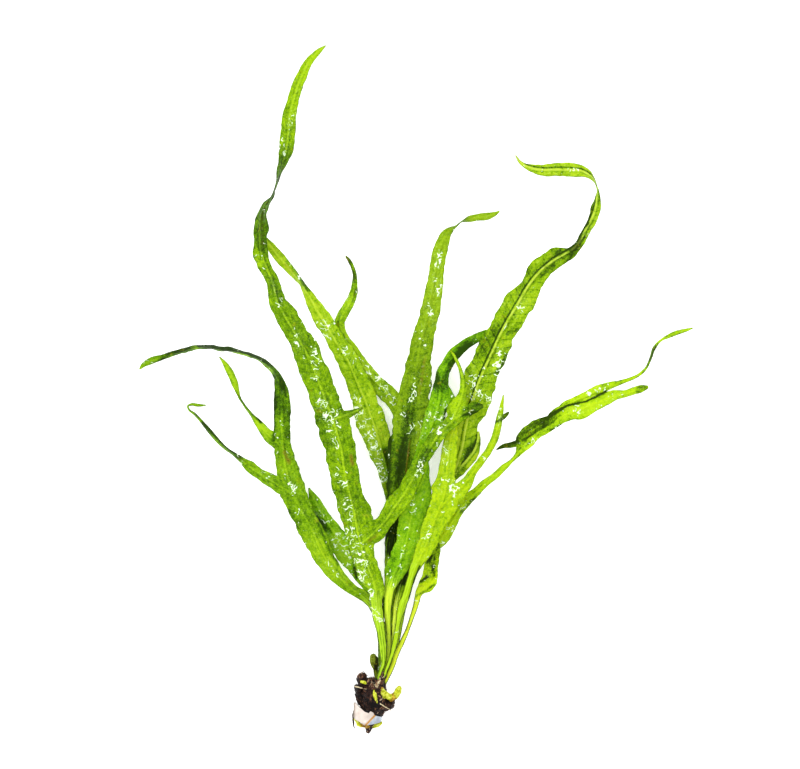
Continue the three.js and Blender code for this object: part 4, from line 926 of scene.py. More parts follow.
grow_frond(
    "under_left_leaf", "frond_under_left", [Blade(footed(UNDER_LEFT), 28, 0.2, 7)],
    leaf_finish("under_left_leaf", rgb(134, 176, 18), rgb(104, 156, 4), rgb(60, 100, 2), vein=0.8, wet=0.9),
    shade=[(1.0, 0.6, (-18.2, 55), (-13.8, 50.6)), (1.4, 0.4, (-10, 52), (-6.6, 48.5)),
           (0.6, 0.6, (-7.4, 43), (-6, 37)), (2, -0.3, (-16, 60), (-12, 55)),
           (2.2, -0.5, (-13, 50), (-8, 42))],
    glint=[(1.2, 1.1, (-17.4, 56.6), (-14.6, 53.6)), (2.4, 1.3, (-11.4, 49), (-7, 43))])

# Centre fronds
# Two long wet leaves up the middle, which grow from the crown: a dark one with a brown stain along
# its midrib and a turned tip, and in front of it one that forks and bends right, under its neighbour.

CENTRE = [
    (1.5, 7.7, 4.35, 0.4, 0.45), (2.9, 14, 4.6, 0.55, 0.6), (3.3, 24, 4.65, 0.8, 0.8),
    (3.8, 34, 4.85, 1.1, 1.1), (4, 42, 5.5, 1.5, 1.4), (4.6, 48, 5.7, 2, 2), (5.6, 54, 5.9, 2.6, 2.6),
    (6.8, 60, 6.1, 3.6, 3.4), (7.8, 65, 6.3, 4.6, 4.2), (8.8, 70, 6.5, 5.4, 4.6), (9.5, 76, 6.7, 5.7, 4.8),
    (10, 82, 6.9, 5.4, 4.7), (10.5, 88, 7.1, 4.8, 4.8), (11.2, 93, 7.3, 4, 4.9), (11.8, 98, 7.4, 3.6, 4.7),
    (12.6, 104, 7.4, 2.8, 4), (13.8, 110, 7.3, 2.7, 3.8), (15.2, 116, 7.1, 2.2, 3.6),
    (16.4, 122, 6.7, 2, 3.2), (17.4, 128, 6.2, 1.8, 2.8), (18.6, 134, 5.5, 1.9, 2.4),
    (19.7, 137.5, 5, 1.7, 2.1), (21.2, 140.3, 4.4, 1.4, 1.5, 15), (22.4, 141.4, 4.1, 1.3, 1.3, 50),
    (24, 142.4, 3.6, 1.2, 1.2, 82), (25.8, 143.8, 3.1, 1.2, 1.2, 100), (28, 144.5, 2.5, 1.1, 1.1, 145),
    (31, 145, 1.9, 1.1, 1.1, 168), (34, 145.4, 1.3, 0.95, 0.95, 175), (35.6, 146, 0.9, 0.6, 0.6, 180),
    (36.9, 146.8, 0.5, 0.15, 0.15, 180),
]
FORKED = [
    (1.6, 7.7, 5.8, 0.5, 0.5), (3.1, 12, 5.95, 0.6, 0.6), (3.7, 16, 6.15, 0.7, 0.7),
    (3.7, 21, 6.35, 0.75, 0.65), (3.4, 26, 6.55, 1.2, 1), (3.5, 28.5, 6.8, 1.7, 1.1),
    (3.6, 31, 6.95, 1.6, 1.2), (4, 34, 7.05, 1.6, 1.6), (5.2, 38, 7.45, 2.9, 2.8), (7, 42, 7.85, 3.2, 3.4),
    (8.6, 46.5, 8.2, 3.1, 4.2), (9.6, 51, 8.4, 3.4, 4.7), (10.5, 56, 8.5, 3.5, 4.9),
    (11.2, 61, 8.6, 3.8, 5.4), (12, 66, 8.7, 3, 4.1), (13, 70.5, 8.8, 2.4, 2.4), (14.2, 75, 8.9, 2.5, 2.4),
    (15.4, 79, 9, 2.6, 2.8), (16.6, 82.8, 9, 2.9, 3.2), (18.2, 87.5, 8.9, 2.9, 3.1),
    (18.9, 91.3, 8.7, 2.6, 4.4), (19.1, 95, 8.4, 2, 2.4), (19.9, 98.6, 8, 1.8, 2),
    (21.8, 101.8, 7.5, 1.7, 1.7), (24.2, 104.6, 6.9, 1.9, 1.6), (27, 106.9, 6.4, 1.6, 1.3),
    (30, 108.6, 5.9, 1.5, 1.3), (33, 110.2, 5.5, 1, 1), (35.5, 111.6, 5.2, 0.2, 0.2),
]
FORKED_LOBE_1 = [
    (12.4, 63, 8.7, 1.6, 1.6), (14, 67, 8.8, 1.8, 1.8), (14.9, 69.8, 8.9, 1, 1), (15.3, 72, 9, 0.15, 0.15),
]

grow_frond(
    "centre_leaf", "frond_centre", [Blade(footed(CENTRE), 52, 0.24, 8)],
    leaf_finish("centre_leaf", rgb(127, 158, 21), rgb(98, 130, 6), rgb(58, 90, 1), vein=0.5, wet=0.6),
    shade=[(1.5, 0.42, (6.6, 60), (7.5, 70), (8.4, 78)), (1.4, 0.2, (8.6, 80), (10.4, 93)),
           (2.6, 0.1, (12.6, 90), (14, 100)), (1.2, 0.7, (4.2, 33), (4.8, 40)),
           (2, -0.6, (2.6, 10), (3.6, 28)), (0.8, 0.9, (2.6, 50), (2.9, 58), (3.3, 68), (3.9, 82)),
           (2.2, 0.22, (5.6, 60), (6, 76)), (9, -0.24, (17, 122), (20, 137)), (3, 0.15, (3, 44), (5, 54)),
           (2, 0.3, (22.8, 141.6), (25.6, 143.4)), (3, -0.3, (30, 145), (36, 146)),
           (1.6, -0.4, (13.6, 76), (13.4, 82)), (2.6, 0.2, (8.6, 70), (10.6, 86)),
           (2, 0.8, (4.4, 45), (5.2, 55))],
    glint=[(1.0, 0.9, (18.6, 134), (18.2, 130)), (1.0, 0.9, (17.8, 126.5), (18, 122)),
           (1.1, 1.0, (15.6, 119), (17.8, 113.5)), (0.9, 0.9, (13.8, 111), (13.2, 106.5)),
           (0.9, 0.9, (11.6, 97), (10.6, 90)), (0.9, 0.8, (10.6, 84), (9.6, 74)),
           (1.2, 0.8, (13.4, 84), (13, 76)), (0.9, 0.6, (8.6, 88), (7.8, 82))],
    stain=[(1.0, 0.6, (12.8, 92), (14.6, 103)), (0.4, 0.85, (8.8, 68), (9.2, 72), (10, 78))])
grow_frond(
    "forked_leaf", "frond_forked", [Blade(footed(FORKED), 34, 0.3, 9), Blade(FORKED_LOBE_1, 0, 0.1, 10)],
    leaf_finish("forked_leaf", rgb(134, 172, 20), rgb(102, 152, 4), rgb(62, 108, 0),
                stalk=rgb(186, 214, 50), vein=0.7, wet=0.6),
    shade=[(1.0, 0.35, (22.8, 100.6), (24.8, 104.4), (27.4, 106.4)),
           (0.45, 0.7, (25, 103.8), (30, 106.9), (33.6, 109)), (1.0, 0.35, (17.4, 95.5), (18.4, 98)),
           (1.0, 0.55, (17.4, 94.4), (17.6, 96.8)),
           (2.2, 0.5, (19.8, 94.6), (22.4, 99.6), (24.4, 103.8), (28.4, 107)), (4, -0.1, (8, 45), (11, 60)),
           (1.0, -0.2, (19.2, 97), (20.4, 100)), (1.2, 0.2, (3.4, 38), (5.4, 44)),
           (2, -0.6, (3.2, 10), (3.8, 32)), (0.5, 0.6, (15.4, 76), (18, 81), (20.6, 83.4)),
           (0.5, 1.2, (1.9, 26.4), (2, 31)), (0.45, 0.9, (20.3, 83.6), (20.8, 87.6))],
    glint=[(0.9, 1.0, (13.8, 79), (15.8, 86.4)), (0.8, 1.0, (19.8, 84), (20.8, 89.4)),
           (0.5, 0.8, (16.6, 80), (18, 88)), (1.1, 0.9, (9.4, 52)), (1.1, 0.9, (12.6, 48), (13.4, 46)),
           (1.2, 0.7, (8, 44), (7, 48)), (1.2, 1.0, (10.6, 60.5), (11.4, 57.5)),
           (1.0, 0.9, (4.6, 37), (6.0, 35)), (0.8, 0.7, (30, 108.6))],
    stain=[(0.6, 0.6, (12, 50), (13, 51)), (0.6, 0.5, (3.5, 30), (3.6, 34))])

# Right fronds
# The bright front leaf that forks in two, the large leaf behind it whose tip turns back to the
# left, the low leaf to the right with drawn-out lobes, and a small young one. All grow from the crown.

FRONT = [
    (2.2, 7.5, 7.2, 0.5, 0.5), (3.9, 12, 7.5, 0.55, 0.55), (5.2, 16, 7.8, 0.7, 0.7),
    (6.1, 20, 8.1, 0.9, 0.65), (6.9, 24, 8.4, 1.1, 0.5), (7.8, 28, 8.7, 1.6, 0.95), (8.9, 32, 9, 1.15, 1.2),
    (10.1, 36, 9.3, 1.1, 1.15), (11.3, 39.7, 9.6, 1.5, 1.5), (13.3, 43.7, 9.9, 2.2, 2.2),
    (15, 47.5, 10.1, 2.6, 3.1), (16.4, 51.5, 10.2, 2.9, 3.2), (18, 56, 10.2, 2.9, 4.4),
    (19.8, 60, 10.2, 3.6, 5), (20.6, 63.5, 10.1, 3.7, 3.4), (21, 67.5, 9.9, 3.1, 2.3),
    (21.3, 72, 9.7, 2.3, 2.5), (21.9, 76.5, 9.3, 2, 2.1), (22.6, 80, 9, 1.7, 1.7), (23.2, 83, 8.7, 1, 1),
    (23.7, 85.5, 8.5, 0.15, 0.15),
]
FRONT_LOBE_1 = [
    (19.2, 58, 10.2, 1, 1), (22.6, 61.8, 10.2, 2.6, 3), (26.2, 65, 10.1, 1.6, 2.4),
    (28.6, 68.3, 9.9, 1.2, 1.2), (31.2, 71.8, 9.6, 1.05, 1.05), (33.7, 75.3, 9.2, 1.05, 1.05),
    (35.3, 78.5, 8.8, 1.05, 1.05), (36.1, 81.5, 8.4, 1.1, 1.1), (36.7, 84.3, 8, 0.95, 0.95),
    (37.2, 86.5, 7.7, 0.8, 0.8), (37.6, 89, 7.4, 0.5, 0.5), (38, 91.7, 7.1, 0.15, 0.15),
]
FRONT_FLAP = [
    (36.2, 84.2, 8.1, 0.4, 0.4), (37.6, 84.8, 8.3, 0.6, 0.6, 15), (38.8, 85.7, 8.2, 0.7, 0.5, 30),
    (39.6, 86.6, 8, 0.2, 0.2),
]
TALL_RIGHT = [
    (2.75, 7.2, 2.9, 0.45, 0.45), (4.35, 14, 3.45, 0.6, 0.6), (4.85, 18, 4.5, 0.6, 0.5),
    (5.3, 22, 6.2, 0.7, 0.75), (6.1, 30, 5.6, 0.9, 1.2), (8, 38, 4.6, 1, 2), (11, 46, 4.8, 1.2, 1.8),
    (15, 54, 5.2, 1.6, 1.6), (19.2, 61, 5.6, 2, 2), (22.6, 67, 5.9, 1.9, 1.4), (24.3, 71.5, 6.2, 2.2, 1),
    (25.4, 75, 6.4, 2.6, 1.6), (26, 78, 6.5, 3, 3.1), (26.4, 80.5, 6.6, 3.3, 3.8),
    (26.9, 83, 6.7, 3.6, 3.7), (28.1, 88, 7, 4.2, 5), (29.6, 92.5, 7.3, 4.2, 5.2),
    (31.2, 97, 7.7, 4.9, 4.8), (33.2, 101.5, 8.1, 4.6, 4.5), (35.3, 106, 8.5, 4.5, 4.6),
    (37.4, 110.5, 8.8, 4.2, 4.5), (39.8, 114.8, 9, 4.2, 4.5), (42.4, 119.2, 9.1, 4.3, 4.5),
    (45.2, 124, 9.1, 2.4, 3.9), (48.3, 128, 8.9, 3.5, 3.2), (51.6, 130.9, 8.6, 3.5, 2.7),
    (55, 133.2, 8.1, 2.9, 2.5), (57.8, 134.7, 7.7, 1.1, 2.3), (60, 136.5, 7.3, 0.9, 1.6),
    (61.5, 139, 6.9, 0.9, 1.6), (62.9, 141.8, 6.4, 0.8, 1.7), (64.6, 144.8, 5.8, 1.1, 1.8),
    (65.6, 147.5, 5.3, 1.5, 1.5, 15), (66.1, 150.3, 4.8, 1.4, 1.4, 50), (66.2, 153, 4.4, 1.4, 1.4, 80),
    (65.3, 155.7, 4, 1.5, 1.5, 105), (63.4, 157.7, 3.6, 1.6, 1.6, 140), (61, 158.8, 3.3, 1.9, 1.9, 165),
    (58, 159.1, 3, 2, 2, 175), (54, 159.2, 2.6, 1.9, 1.9, 175), (50, 159.1, 2.1, 1.7, 1.7, 178),
    (47, 159.5, 1.7, 1.2, 1.2, 180), (44.5, 160.4, 1.2, 0.7, 0.7, 180), (42.8, 161.8, 0.8, 0.4, 0.4, 180),
    (41.7, 163.6, 0.5, 0.15, 0.15, 180),
]
TALL_RIGHT_LOBE_1 = [
    (22.2, 66, 5.8, 0.9, 0.9), (24.6, 69.3, 5.3, 1.9, 1.9), (27, 72, 4.9, 2.2, 2),
    (29.3, 75, 4.7, 2.2, 1.6), (30.4, 78, 4.7, 2, 0.8), (30.6, 80.8, 4.7, 0.15, 0.15),
]
LOW_RIGHT = [
    (2.75, 7.2, 4.35, 0.45, 0.45), (5.2, 14, 4.5, 0.55, 0.6), (6.25, 18, 4.35, 0.55, 0.65),
    (7, 22, 4.3, 0.65, 0.7), (8.1, 28, 4, 0.8, 0.8), (9.9, 34, 3.3, 0.8, 0.8), (12.2, 40, 2.8, 0.9, 0.9),
    (15.2, 44.5, 2.8, 1.2, 1.2), (19, 48, 2.9, 1.8, 1.9), (21.2, 51, 3, 2.2, 1.9),
    (22.9, 54, 3.1, 2.4, 1.6), (25, 57.3, 3.2, 2.2, 1.3), (27.6, 60.2, 3.3, 1.9, 1.3),
    (30.3, 62.8, 3.4, 1.4, 1.1), (32.5, 64.8, 3.5, 1.35, 0.9), (35.3, 67.2, 3.5, 1, 0.9),
    (38.2, 70, 3.5, 0.85, 0.9), (40.8, 72.3, 3.5, 0.55, 0.55), (42.4, 74, 3.6, 0.9, 0.8, 0, 10),
    (43.7, 75.7, 3.8, 2.4, 1.4, 0, 20), (45.2, 77.7, 4, 4.2, 2.3, 0, 25),
    (47.3, 79.5, 4.1, 4.3, 1.7, 0, 28), (50, 81.3, 4.1, 3.8, 1.7, 0, 25), (53, 82.9, 4, 3.4, 1.5, 0, 20),
    (55.5, 84.8, 3.8, 3.6, 1.7, 0, 15), (58.2, 86.4, 3.5, 2.7, 2.5, 0, 10),
    (61.5, 87.6, 3.2, 2.6, 2.9, 0, 8), (65, 88.9, 2.9, 2.6, 2.1, 0, 8), (68.5, 90.3, 2.5, 2.1, 1.9, 0, 8),
    (71.5, 91.5, 2.1, 1.7, 1.4, 0, 5), (74.5, 92.1, 1.6, 1, 1.1), (77.5, 93, 1.2, 1.1, 1.1),
    (80, 93.7, 0.8, 1, 1), (81.5, 94.1, 0.55, 0.4, 0.4),
]
LOW_RIGHT_LOBE_1 = [
    (53.6, 85, 4.3, 0.9, 0.9), (56.5, 88.2, 4.5, 1.4, 1.2), (59.5, 90, 4.3, 1.1, 1.1),
    (63, 91.5, 4, 1.2, 1), (66.5, 93.2, 3.7, 1.4, 1.4), (69.5, 94.2, 3.4, 1.2, 1),
    (72.5, 95.2, 3.1, 0.8, 0.7), (75.5, 96.2, 2.8, 0.55, 0.5), (78.5, 97.6, 2.5, 0.5, 0.5, 30),
    (80.8, 99.8, 2.2, 0.9, 0.9, 75), (82.2, 102.8, 1.9, 0.9, 0.9, 80), (83.2, 105.6, 1.6, 0.9, 0.9, 65),
    (84.9, 107.8, 1.3, 0.8, 0.8, 85), (87.2, 109.1, 1.1, 0.7, 0.7, 140), (90, 110.3, 0.85, 0.65, 0.65, 170),
    (92.5, 111, 0.65, 0.5, 0.5, 180), (94.9, 111.8, 0.5, 0.15, 0.15, 180),
]
LOW_RIGHT_LOBE_2 = [
    (46.2, 79, 4.3, 0.8, 0.8), (43, 77.6, 4.2, 1, 0.9), (40.3, 76.7, 3.9, 0.8, 0.8),
    (38, 76.3, 3.5, 0.6, 0.6), (35.9, 75.3, 3.1, 0.15, 0.15),
]
YOUNG = [
    (3.1, 6.9, 5.8, 0.6, 0.6), (4.5, 10, 5.9, 0.7, 0.7), (5.9, 14, 6, 0.75, 0.75), (7.8, 18, 6, 0.7, 0.7),
    (9.5, 22, 6, 0.6, 0.6), (10.9, 26, 6, 0.65, 0.65), (12, 29.5, 5.9, 0.8, 0.8),
    (12.8, 32.5, 5.8, 1.1, 1.2, 0, 10), (14.3, 35, 5.7, 1.8, 3.2, 0, 22), (15.6, 37.7, 5.5, 2, 3.2, 0, 24),
    (16.4, 40.5, 5.3, 2.3, 2.2, 0, 22), (17, 43.2, 5.1, 2, 2, 0, 15), (17.7, 45.8, 4.9, 1.2, 1.5, 0, 8),
    (18.4, 48.2, 4.8, 0.2, 0.2),
]

grow_frond(
    "front_leaf", "frond_front",
    [Blade(footed(FRONT), 42, 0.25, 11), Blade(FRONT_LOBE_1, 0, 0.2, 12), Blade(FRONT_FLAP, 0, 0.02, 23)],
    leaf_finish("front_leaf", rgb(160, 186, 12), rgb(136, 167, 9), rgb(98, 138, 3), vein=0.6, wet=0.5),
    shade=[(0.9, 0.5, (38.2, 85), (39.8, 86.8)), (0.4, 0.7, (35.2, 83.4), (38, 84.6)),
           (0.45, 0.9, (9.9, 31), (11.3, 36.8), (12.9, 40.4)), (2, -0.15, (14, 56), (18, 62)),
           (1.5, -0.2, (22.4, 80), (23.6, 84))],
    glint=[(1.6, 0.9, (24.5, 66.5), (23.4, 63)), (1.2, 0.7, (21, 76), (20.6, 72)), (1.0, 0.8, (26.4, 60)),
           (1.2, 0.5, (16, 52), (14.5, 47)), (1.4, 0.55, (20.8, 76), (20.4, 63)),
           (0.8, 0.6, (36.5, 83), (37, 86))])
grow_frond(
    "tall_right_leaf", "frond_tall_right",
    [Blade(footed(TALL_RIGHT), 62, 0.4, 13), Blade(TALL_RIGHT_LOBE_1, 0, 0.2, 14)],
    leaf_finish("tall_right_leaf", rgb(150, 176, 26), rgb(112, 148, 4), rgb(64, 98, 0),
                stalk=rgb(196, 220, 56), vein=1.9, wet=0.6, painted_rib_shadow=0.45),
    shade=[(1.6, 0.5, (6.6, 33.5), (9, 38)), (1.2, 0.8, (8, 36), (10.4, 43)),
           (2, -0.7, (3.4, 9), (5.8, 26)), (2.2, 0.3, (46, 130), (54, 135), (60, 137)),
           (0.9, 0.35, (36, 98), (39, 102)), (0.7, 0.3, (37, 104), (40, 106)),
           (0.7, 0.3, (39, 109.5), (42, 111.5)), (3, -0.16, (43, 117), (47, 121)),
           (2, -0.2, (36, 101), (39, 108)), (1.1, 0.45, (57.4, 131), (60, 137.6)),
           (0.9, 0.5, (62.6, 143), (64, 149.5)), (2.2, -0.2, (41, 124), (47, 130)),
           (0.9, -0.25, (63.6, 138.6), (66.4, 144)), (4, -0.25, (62, 158.5), (44, 160)),
           (0.5, 0.3, (67, 150), (67, 154)), (1.5, -0.5, (24.4, 72), (26, 84)),
           (0.8, 0.5, (25.6, 72), (29, 77)), (0.5, -0.5, (27.4, 70.4), (30.4, 74.4)),
           (2, 0.25, (31, 104), (35, 111)), (2, 0.3, (43, 124.6), (45, 128)),
           (0.6, 0.4, (36.6, 99), (38.8, 104)), (1.4, -0.3, (47, 131), (52, 134)),
           (1.3, 0.4, (59, 137), (61.4, 141), (62.4, 145)), (0.7, 0.4, (62.6, 143), (64.4, 151)),
           (2.4, -0.14, (28, 84), (30, 93)), (0.6, 0.4, (49, 127), (53, 130.4))],
    glint=[(1.8, 1.0, (30.5, 92), (33.5, 90.5)), (1.6, 0.9, (35.5, 98.5), (38, 104)),
           (1.6, 0.9, (42.5, 117), (44, 120)), (1.2, 0.8, (28.4, 92), (29.4, 97)),
           (1.5, 0.5, (30, 100), (28, 96)), (1.2, 0.6, (39, 121), (37, 117)),
           (0.8, 0.6, (64.5, 141), (65, 143)), (0.8, 0.5, (60, 159), (56, 159.5))],
    stain=[(0.5, 0.4, (29, 92), (33, 101))])
grow_frond(
    "low_right_leaf", "frond_low_right",
    [Blade(footed(LOW_RIGHT), 46, 0.22, 15), Blade(LOW_RIGHT_LOBE_1, 0, 0.12, 16),
     Blade(LOW_RIGHT_LOBE_2, 0, 0.05, 17)],
    leaf_finish("low_right_leaf", rgb(160, 190, 16), rgb(134, 172, 6), rgb(70, 104, 2), vein=0.7, wet=0.5),
    shade=[(1.9, 0.4, (43.4, 80.2), (47, 82.8), (51.6, 85.4)), (0.4, 0.4, (44, 78), (48, 81), (53, 83.6)),
           (1.2, 0.35, (50, 84.4), (55, 87)), (0.3, 1.0, (52, 85.6), (57, 88.4), (63, 89.8), (69, 92.8)),
           (1.0, 0.6, (36, 75.4), (42, 77.8)), (0.8, -0.6, (45.5, 75.6), (50.6, 79), (56, 82.2)),
           (1.2, -0.3, (57, 90.6), (66, 94)), (1.2, 0.3, (26, 56.6), (30, 61.6)),
           (1.0, 0.2, (78, 93.2), (81, 94)), (2, -0.2, (70, 91), (76, 92.4)), (2, -0.4, (4, 11), (6.8, 22)),
           (2, -0.25, (18, 47), (21, 51)), (1.8, 0.45, (82, 102), (83, 105)),
           (4, -0.15, (20, 50), (38, 70)), (2.4, -0.25, (56, 85.6), (68, 89.4)),
           (0.6, 0.35, (52, 81.2), (60, 84.4))],
    glint=[(1.0, 0.8, (24, 56), (27, 60)), (1.2, 0.8, (45, 76.5), (48, 79)),
           (1.3, 0.9, (63, 92.4), (68, 94)), (1.2, 0.7, (58, 87), (66, 88)),
           (1.0, 0.7, (70, 90.6), (74, 92))])
grow_frond(
    "young_leaf", "frond_young", [Blade(footed(YOUNG), 32, 0.3, 18)],
    leaf_finish("young_leaf", rgb(170, 196, 12), rgb(128, 164, 4), rgb(56, 84, 2),
                stalk=rgb(192, 208, 44), vein=0.7, wet=0.4),
    shade=[(5, -0.35, (4, 8), (8, 20), (12, 31)), (1.4, 0.2, (16.6, 41.4), (18.2, 46)),
           (0.5, 0.4, (15.2, 41.6), (16.4, 43.4)), (0.45, 0.7, (12.4, 35.4), (15.2, 37.2)),
           (0.4, 0.6, (11.8, 31.4), (14.6, 33), (17, 34.8)), (1.2, -0.3, (14.4, 33.6), (17.8, 36.4)),
           (0.8, -0.3, (13.2, 37), (13.6, 40)), (0.4, 0.4, (17.4, 37.4), (16.8, 40.4))],
    glint=[(0.7, 0.9, (14.4, 36.6), (15.6, 37.8))],
    stain=[(0.5, 0.7, (12.6, 34.2), (13.8, 34.6)), (0.5, 0.6, (9.0, 21.2), (9.4, 22.4))])

# Low left frond
# The leaf that leans furthest out on the left, with two side lobes that dry to thin turned tips.
# The same wet leathery tissue, with painted shade where it stands on edge. It grows from the crown.

LOW_LEFT = [
    (0.55, 8.15, 4.35, 0.4, 0.4), (1.2, 12, 4.5, 0.5, 0.5), (1.3, 17, 4.6, 0.7, 0.7),
    (0.2, 24, 4.7, 0.9, 0.9), (-1.3, 28.4, 4.8, 1, 1), (-3.8, 31, 5, 1.2, 1.9), (-6.8, 33.1, 5.2, 1.5, 1.5),
    (-10, 36, 5.4, 2.2, 1.8), (-13, 39.5, 5.6, 2.7, 2.3), (-15.6, 43.3, 5.7, 3.1, 2.9),
    (-17.6, 47.5, 5.8, 3.6, 3.3), (-19.6, 52, 5.9, 3.8, 3), (-22.2, 56.5, 5.9, 3.4, 3.3),
    (-24.3, 61, 5.9, 3.9, 3.9), (-26, 65.5, 5.8, 3.6, 3.9), (-27.2, 70, 5.7, 2.9, 3.5),
    (-27.9, 75, 5.6, 2.5, 2.7), (-28.2, 80, 5.5, 2.4, 2.4), (-28.3, 85, 5.4, 2.3, 2.6),
    (-28.4, 90, 5.3, 2.3, 2.5), (-28.8, 94, 5.1, 1.8, 2.1, 20), (-29.6, 97, 4.9, 1.8, 2, 50),
    (-31.3, 99.5, 4.6, 1.9, 1.9, 62), (-34, 101.7, 4.3, 1.9, 1.9, 64), (-36, 102.9, 4.15, 1.5, 1.6, 66),
    (-37.8, 103.6, 4, 1.9, 1.8, 68), (-40, 104.1, 3.8, 1.5, 1.9, 68), (-42, 104.8, 3.6, 1.9, 1.7, 70),
    (-44.4, 105.3, 3.4, 1.5, 1.9, 66), (-47, 105.5, 3.2, 1.9, 1.6, 66), (-49.6, 106, 3, 1.4, 1.8, 66),
    (-52, 106.1, 2.8, 1.7, 1.4, 68), (-54.6, 105.7, 2.55, 1.3, 1.6, 62), (-57, 105.1, 2.3, 1.4, 1.4, 60),
    (-61, 104.1, 1.9, 1.2, 1.2, 50), (-64.5, 102.9, 1.5, 1, 1, 35), (-67.5, 102, 1.1, 1, 1, 10),
    (-69.8, 100.8, 0.75, 0.7, 0.7), (-71.1, 99.3, 0.5, 0.15, 0.15),
]
LOW_LEFT_LOBE_1 = [
    (-24.8, 61.6, 5.8, 1, 1), (-28, 63.8, 5.6, 2, 1.9), (-31, 65.7, 5.3, 2, 2.1),
    (-34.5, 67.9, 4.9, 1.8, 1.6), (-38, 70.2, 4.4, 1.6, 1.6), (-40.8, 72.6, 4, 1.1, 1.1, 40),
    (-43.5, 74.5, 3.6, 1.2, 1.2, 65), (-46.5, 76.8, 3.2, 1.2, 1.2, 60), (-49.3, 80, 2.8, 1.1, 1.1, 50),
    (-52, 83.2, 2.4, 0.9, 0.9, 60), (-54.6, 86, 2, 0.7, 0.7, 70), (-56.2, 87.3, 1.7, 0.5, 0.5, 60),
    (-56.6, 88.3, 1.4, 0.35, 0.35, 40), (-55.6, 88.8, 1.1, 0.4, 0.4, 20), (-53.6, 88.6, 0.8, 0.45, 0.45),
    (-51.1, 88.6, 0.5, 0.15, 0.15),
]
LOW_LEFT_LOBE_2 = [
    (-27.6, 75, 5.5, 0.9, 0.9), (-30.3, 77.9, 5.3, 2, 2), (-32.8, 80.1, 5, 1.7, 1.6),
    (-35, 82.8, 4.6, 1.2, 1.1), (-37.2, 85.5, 4.2, 0.9, 0.9, 55), (-39.7, 88.7, 3.8, 0.8, 0.8, 80),
    (-41.2, 91.3, 3.4, 0.8, 0.8, 110), (-41.9, 93.5, 3, 0.85, 0.85, 145), (-42.8, 96, 2.5, 1, 1, 168),
    (-44.2, 99, 1.8, 0.95, 0.95, 175), (-45.6, 101.3, 1.1, 0.6, 0.6, 180),
    (-47.1, 103.1, 0.5, 0.15, 0.15, 180),
]

grow_frond(
    "low_left_leaf", "frond_low_left",
    [Blade(footed(LOW_LEFT), 30, 0.3, 19), Blade(LOW_LEFT_LOBE_1, 0, 0.2, 20),
     Blade(LOW_LEFT_LOBE_2, 0, 0.15, 21)],
    leaf_finish("low_left_leaf", rgb(134, 168, 18), rgb(96, 136, 4), rgb(56, 92, 0), vein=0.6, wet=0.5),
    shade=[(3, 0.3, (-28.4, 89), (-28.6, 95), (-33, 100)), (2.4, 0.1, (-28.4, 79)), (2, -0.16, (-27.6, 71)),
           (1.0, 0.3, (-28, 93), (-28.6, 98.6)), (0.7, 0.8, (-30.8, 88), (-31.2, 97)),
           (1.0, 0.4, (-26.4, 79), (-26, 86)), (0.6, 0.5, (-30.8, 78), (-30.6, 90)),
           (0.6, 1.2, (-31, 101), (-36.3, 103.4), (-41, 104.9), (-47, 106), (-53, 106.7)),
           (1.6, 0.2, (-42, 104.6), (-50, 105.6), (-60, 104.2)),
           (0.8, 0.5, (-56, 106), (-62, 104.2), (-65, 101.6)), (0.7, -0.45, (-31.6, 98.4), (-36, 101.8)),
           (0.6, -0.5, (-38.6, 103.4), (-43.4, 104.4)), (0.8, 0.4, (-44.6, 105.2), (-46, 105.6)),
           (4, -0.24, (-12, 39), (-17, 47)), (0.9, 0.6, (-41, 73), (-52, 83)),
           (0.5, 0.8, (-34.6, 83.6), (-37, 87), (-40.6, 91)), (1.4, -0.4, (-32, 80.4), (-36, 83)),
           (2.5, -0.3, (-42, 94), (-46, 102)), (0.7, 0.3, (-26, 57.6), (-23.4, 52)),
           (0.5, 0.5, (-17.4, 53), (-14, 45), (-11.6, 41))],
    glint=[(1.5, 0.9, (-26.4, 66.5), (-25, 64)), (1.0, 0.8, (-22, 57)),
           (1.2, 0.7, (-33.5, 68.5), (-31.5, 66)), (0.8, 0.6, (-18, 50)), (0.8, 0.6, (-15, 42), (-11, 38))],
    stain=[(1.0, 0.85, (-27.6, 74.5), (-26.2, 71.5)), (0.7, 0.6, (-28.4, 70)),
           (0.5, 0.5, (-38, 70.6), (-41, 73))])

# Crozier
# A young leaf at the left of the crown, still cupped like a small spoon on its short stalk. It is
# soft, olive and wet, and grows out of the bark beside the fronds.

CROZIER = [
    (-0.25, 8.3, 6, 0.5, 0.5, 0, 5), (-0.4, 9.6, 6.3, 0.6, 0.7, 0, 25), (-0.7, 11.2, 6.7, 1.15, 1.5, 0, 35),
    (-0.9, 12.7, 6.8, 1.3, 1.6, 0, 32), (-0.8, 13.9, 6.8, 0.8, 0.8, 0, 20), (-0.7, 14.3, 6.8, 0.2, 0.2),
]

grow_frond(
    "crozier_leaf", "crozier", [Blade(footed(CROZIER), 3.5, 0.05, 22)],
    leaf_finish("crozier_leaf", rgb(112, 122, 40), rgb(84, 94, 16), rgb(38, 40, 4), vein=0.4, wet=0.3),
    shade=[(0.7, 1.0, (0.2, 10), (0.6, 13.2)), (0.9, -0.3, (-1.6, 12.4))])

# Floor, light and camera
# A pale table under the plant, a soft bright studio round it with small lamps that strike the
# glints on wet leaf, and a long lens looking straight down.

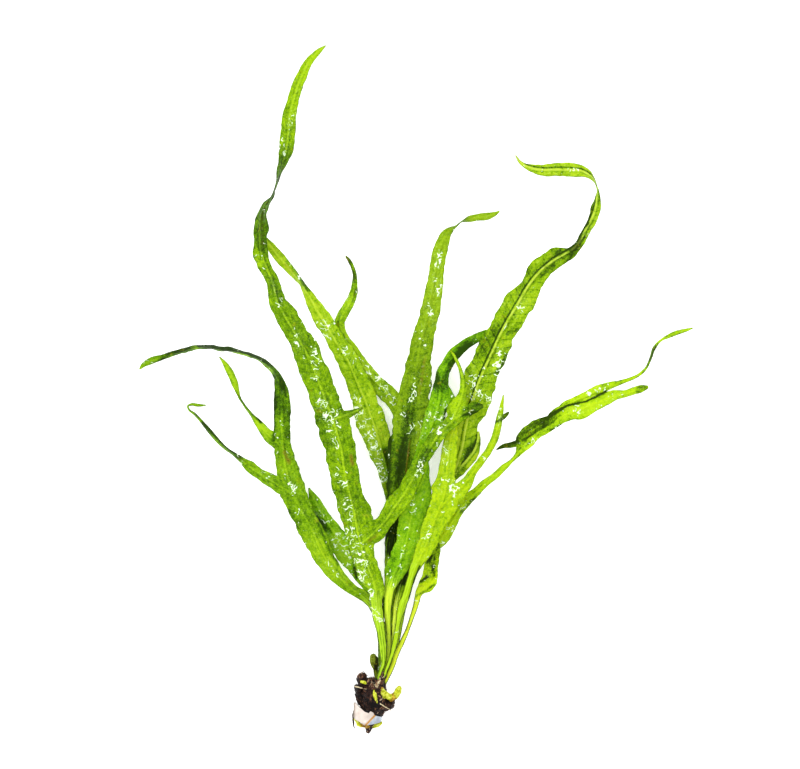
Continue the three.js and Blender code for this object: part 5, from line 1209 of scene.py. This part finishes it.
FLOOR_HALF = 3000
FLOOR_DROP = 0.05
FLOOR_CORNERS = ((-FLOOR_HALF, -FLOOR_HALF, 0), (FLOOR_HALF, -FLOOR_HALF, 0),
                 (FLOOR_HALF, FLOOR_HALF, 0), (-FLOOR_HALF, FLOOR_HALF, 0))
floor_mesh = mesh_of("floor", FLOOR_CORNERS, [(0, 1, 2, 3)])
floor = added("floor", floor_mesh)
floor.location.z = -FLOOR_DROP * MM
table = Finish("table_top")
table_grain = table.cloud(40, 2)
table_colour = table.ramp(table_grain, (0.3, rgb(244, 244, 244)), (0.7, rgb(248, 248, 248)))
floor_mesh.materials.append(
    table.close(table_colour, 0.7 + table_grain * 0.1, table_grain, 0.01, gloss=0.1, glow=0.42))

# Each square lamp: its width, its power, its place in metres, and whether wet leaf mirrors it
LAMPS = {
    "soft_north_west": (1.2, 43.5, (-1.4, 1.5, 1.2), False),
    "soft_north_east": (1.2, 23.2, (1.5, 1.4, 1.2), False),
    "soft_south_east": (1.2, 18.85, (1.5, -1.3, 1.2), False),
    "soft_south_west": (1.2, 29, (-1.5, -1.3, 1.2), False),
    "spark_left": (0.06, 2.4, (-0.42, 0.42, 1.3), True),
    "spark_right": (0.06, 1.6, (0.36, 0.34, 1.3), True),
}
LAMP_AIM = (0.005, 0.09, 0.0)
STUDIO_LIGHT = 0.72
for name, (size, power, place, mirrored) in LAMPS.items():
    light = bpy.data.lights.new(name, "AREA")
    light.size = size
    light.energy = power
    lamp = added(name, light)
    lamp.location = place
    lamp.rotation_euler = (Vector(LAMP_AIM) - Vector(place)).to_track_quat("-Z", "Y").to_euler()
    lamp.visible_glossy = mirrored
world = bpy.data.worlds.new("studio")
world.use_nodes = True
world.node_tree.nodes["Background"].inputs["Color"].default_value = (1, 1, 1, 1)
world.node_tree.nodes["Background"].inputs["Strength"].default_value = STUDIO_LIGHT
bpy.context.scene.world = world
bpy.context.scene.view_settings.view_transform = "Standard"

# The middle and width of what the camera sees, and its height over the table
VIEW_CENTRE = (7.05 * MM, 94.8 * MM)
VIEW_WIDTH = 240 * MM
VIEW_HEIGHT = 2.5
camera = added("camera", bpy.data.cameras.new("camera"))
camera.data.lens = camera.data.sensor_width * VIEW_HEIGHT / VIEW_WIDTH
camera.data.clip_end = 20
camera.location = (*VIEW_CENTRE, VIEW_HEIGHT)
bpy.context.scene.camera = camera
